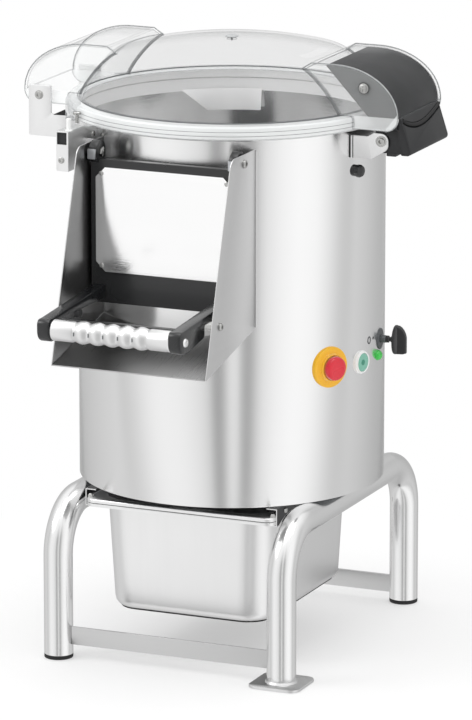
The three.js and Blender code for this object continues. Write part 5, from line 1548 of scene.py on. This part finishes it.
def studio_world():
    world = bpy.data.worlds.new("studio")
    bpy.context.scene.world = world
    tree = bare_tree(world)
    way = add(tree, "TexCoord").outputs["Generated"]
    parts = add(tree, "SeparateXYZ", {0: way}).outputs
    angle = worked(tree, "ARCTAN2", parts["X"], worked(tree, "MULTIPLY", parts["Y"], -1.0))
    ramp = add(tree, "ValToRGB", {0: spread(tree, angle, -math.pi, math.pi)})
    marks = ramp.color_ramp.elements
    while len(marks) < len(ROOM_BANDS):
        marks.new(0.5)
    for mark, (degrees, seen) in zip(marks, ROOM_BANDS):
        mark.position = (degrees + 180) / 360
        level = tone(seen, seen, seen)[0] / (ROOM_METAL * ROOM_GLOSS)
        mark.color = (level, level, level, 1)
    bands = blended(tree, spread(tree, parts["Z"], 0.35, 0.8), ramp.outputs[0], (1, 1, 1, 1))
    path = add(tree, "LightPath").outputs
    glossy = add(tree, "Background", {"Color": bands, "Strength": ROOM_GLOSS})
    plain = add(tree, "Background", {"Color": (1, 1, 1, 1), "Strength": 1.0})
    dim = add(tree, "Background", {"Color": (1, 1, 1, 1), "Strength": ROOM_LEVEL})
    clear = worked(tree, "MAXIMUM", path["Is Camera Ray"], path["Is Transmission Ray"])
    first = mixed(tree, path["Is Glossy Ray"], dim, glossy)
    add(tree, "OutputWorld", {0: mixed(tree, clear, first, plain).outputs[0]})


def studio_lamp(name, place, target, size, power):
    data = bpy.data.lights.new(name, "AREA")
    data.size = size
    data.energy = power
    light = bpy.data.objects.new(name, data)
    bpy.context.scene.collection.objects.link(light)
    light.location = AXIS + Vector(place)
    run = AXIS + Vector(target) - light.location
    light.rotation_euler = run.to_track_quat("-Z", "Y").to_euler()
    light.visible_camera = False


def studio_lamps():
    studio_lamp("left_lamp", (-2.2, -1.8, 2.6), (0, 0, 0.5), size=1.6, power=26)
    studio_lamp("top_lamp", (0.3, -0.3, 3.0), (0, 0, 0.5), size=2.0, power=22)


def camera():
    data = bpy.data.cameras.new("camera")
    data.sensor_width = 24.0
    data.lens = 193.19
    data.clip_end = 100.0
    view = bpy.data.objects.new("camera", data)
    bpy.context.scene.collection.objects.link(view)
    round_by, down_by, aside = 23.47, 13.62, 0.0424
    side, distance, height = math.radians(round_by), 7.37656, 2.15459
    view.location = AXIS + Vector((distance * math.sin(side), -distance * math.cos(side), height))
    view.rotation_euler = (math.radians(90 - down_by), 0, math.radians(round_by - aside))
    bpy.context.scene.camera = view


def build_machine():
    polished, sheet, upright, light = tube_steel(), sheet_steel(), upright_sheet(), pan_steel()
    screw, dark, gloss, machined = zinc_screw(), satin_black(), gloss_black(), machined_steel()
    rubber, cast, paint, rough = black_rubber(), cast_iron(), painted_steel(), grit()
    white, pale_rubber_and_light_band, print_and_shade_ink = white_plastic(), pale_silicone_and_light_band(), grey_print_and_shade_line()
    stand_tubes(polished)
    cross_bars(bar_steel())
    foot_caps(rubber)
    foot_plate(sheet)
    foot_weld(sheet)
    pan_rails(sheet, dark, screw)
    waste_pan(light, dark)
    drum = drum_steel()
    drum_wall(drum)
    drum_seam(drum)
    drum_rivets(screw)
    drum_inside(inner_steel())
    # The pale band inside the rim is painted light
    rim_light_band(pale_rubber_and_light_band)
    splash_guard(guard_steel())
    chamber_lining(rough)
    chamber_base(sheet)
    base_cover(paint)
    upright_part("duct_pipe", "waste_duct", upright, duct_profile)
    door_collar(sheet)
    grit_disc(rough)
    drive_parts(machined, cast, paint, rubber)
    chute_sides(upright, shaded_cheek_steel())
    chute_beads(sheet)
    # The chute's floor takes a darker steel as painted shade
    chute_base(shaded_floor_steel())
    door_pivots(screw)
    catch_pins(screw, dark)
    door_slab(gloss)
    door_lugs(machined, screw)
    door_seal(rubber)
    door_cover(plate_steel(), screw)
    handle_arms(gloss)
    grip_sleeve(grip_alloy())
    grip_marks(cast)
    grip_screws(polished)
    pale = (238, 240, 240)
    clear = clear_plastic("clear_plastic", 0.07, 0.45)
    # The rim and the cheeks take paler copies of the clear plastic, as painted light, and the rim gives off a
    # painted glow
    rim = clear_plastic("clear_rim", 0.55, 0.75, pale, glow=0.12)
    cheek = clear_plastic("clear_cheek", 0.13, 0.5, pale)
    ear = clear_plastic("clear_ear", 0.012, 0.45)
    lid_shell(clear, cheek, ear, rim)
    lid_seams(clear_plastic("clear_seam", 0.45, 0.9), print_and_shade_ink)
    # The cheeks' rolled edges are pale: a painted highlight along them
    cheek_beads(clear_plastic("clear_bead", 0.6, 0.7, pale))
    lid_screws(screw, rubber)
    lid_gasket(pale_rubber_and_light_band)
    upright_part("crown_plug", "lid_plug", grey_plastic(), plug_profile)
    hinge_body(dark, rubber)
    hinge_brackets(light)
    hinge_flanges(dark, light)
    hinge_axle(screw)
    lid_buffer(gloss)
    ear_strap(light, screw, rubber)
    switch_parts(light, dark, screw, white)
    latch_parts(clear_plastic("clear_boss", 0.3, 0.8, (196, 198, 199)), screw)
    stop_button(yellow_plastic(), red_plastic())
    start_control(white, mint_plastic(), deep_green())
    lamp(green_lens())
    timer_dial(paint, print_and_shade_ink)
    timer_knob(dark, cast)
    rear_services(dark, polished)


def quiet_reflections():
    """Parts that the photograph's brushed steel is too dull to mirror."""
    for name in ("stop_disc", "stop_head", "start_ring", "start_cap", "knob_skirt", "knob_rib", "lid_buffer",
                 "leg_frame_left_tube", "leg_frame_right_tube", "handle_arms", "grip_sleeve",
                 "pan_rail_left_channel", "pan_rail_right_channel"):
        bpy.data.objects[name].visible_glossy = False


build_machine()
quiet_reflections()
studio_floor()
studio_world()
studio_lamps()
camera()
bpy.context.scene.view_settings.view_transform = "Standard"
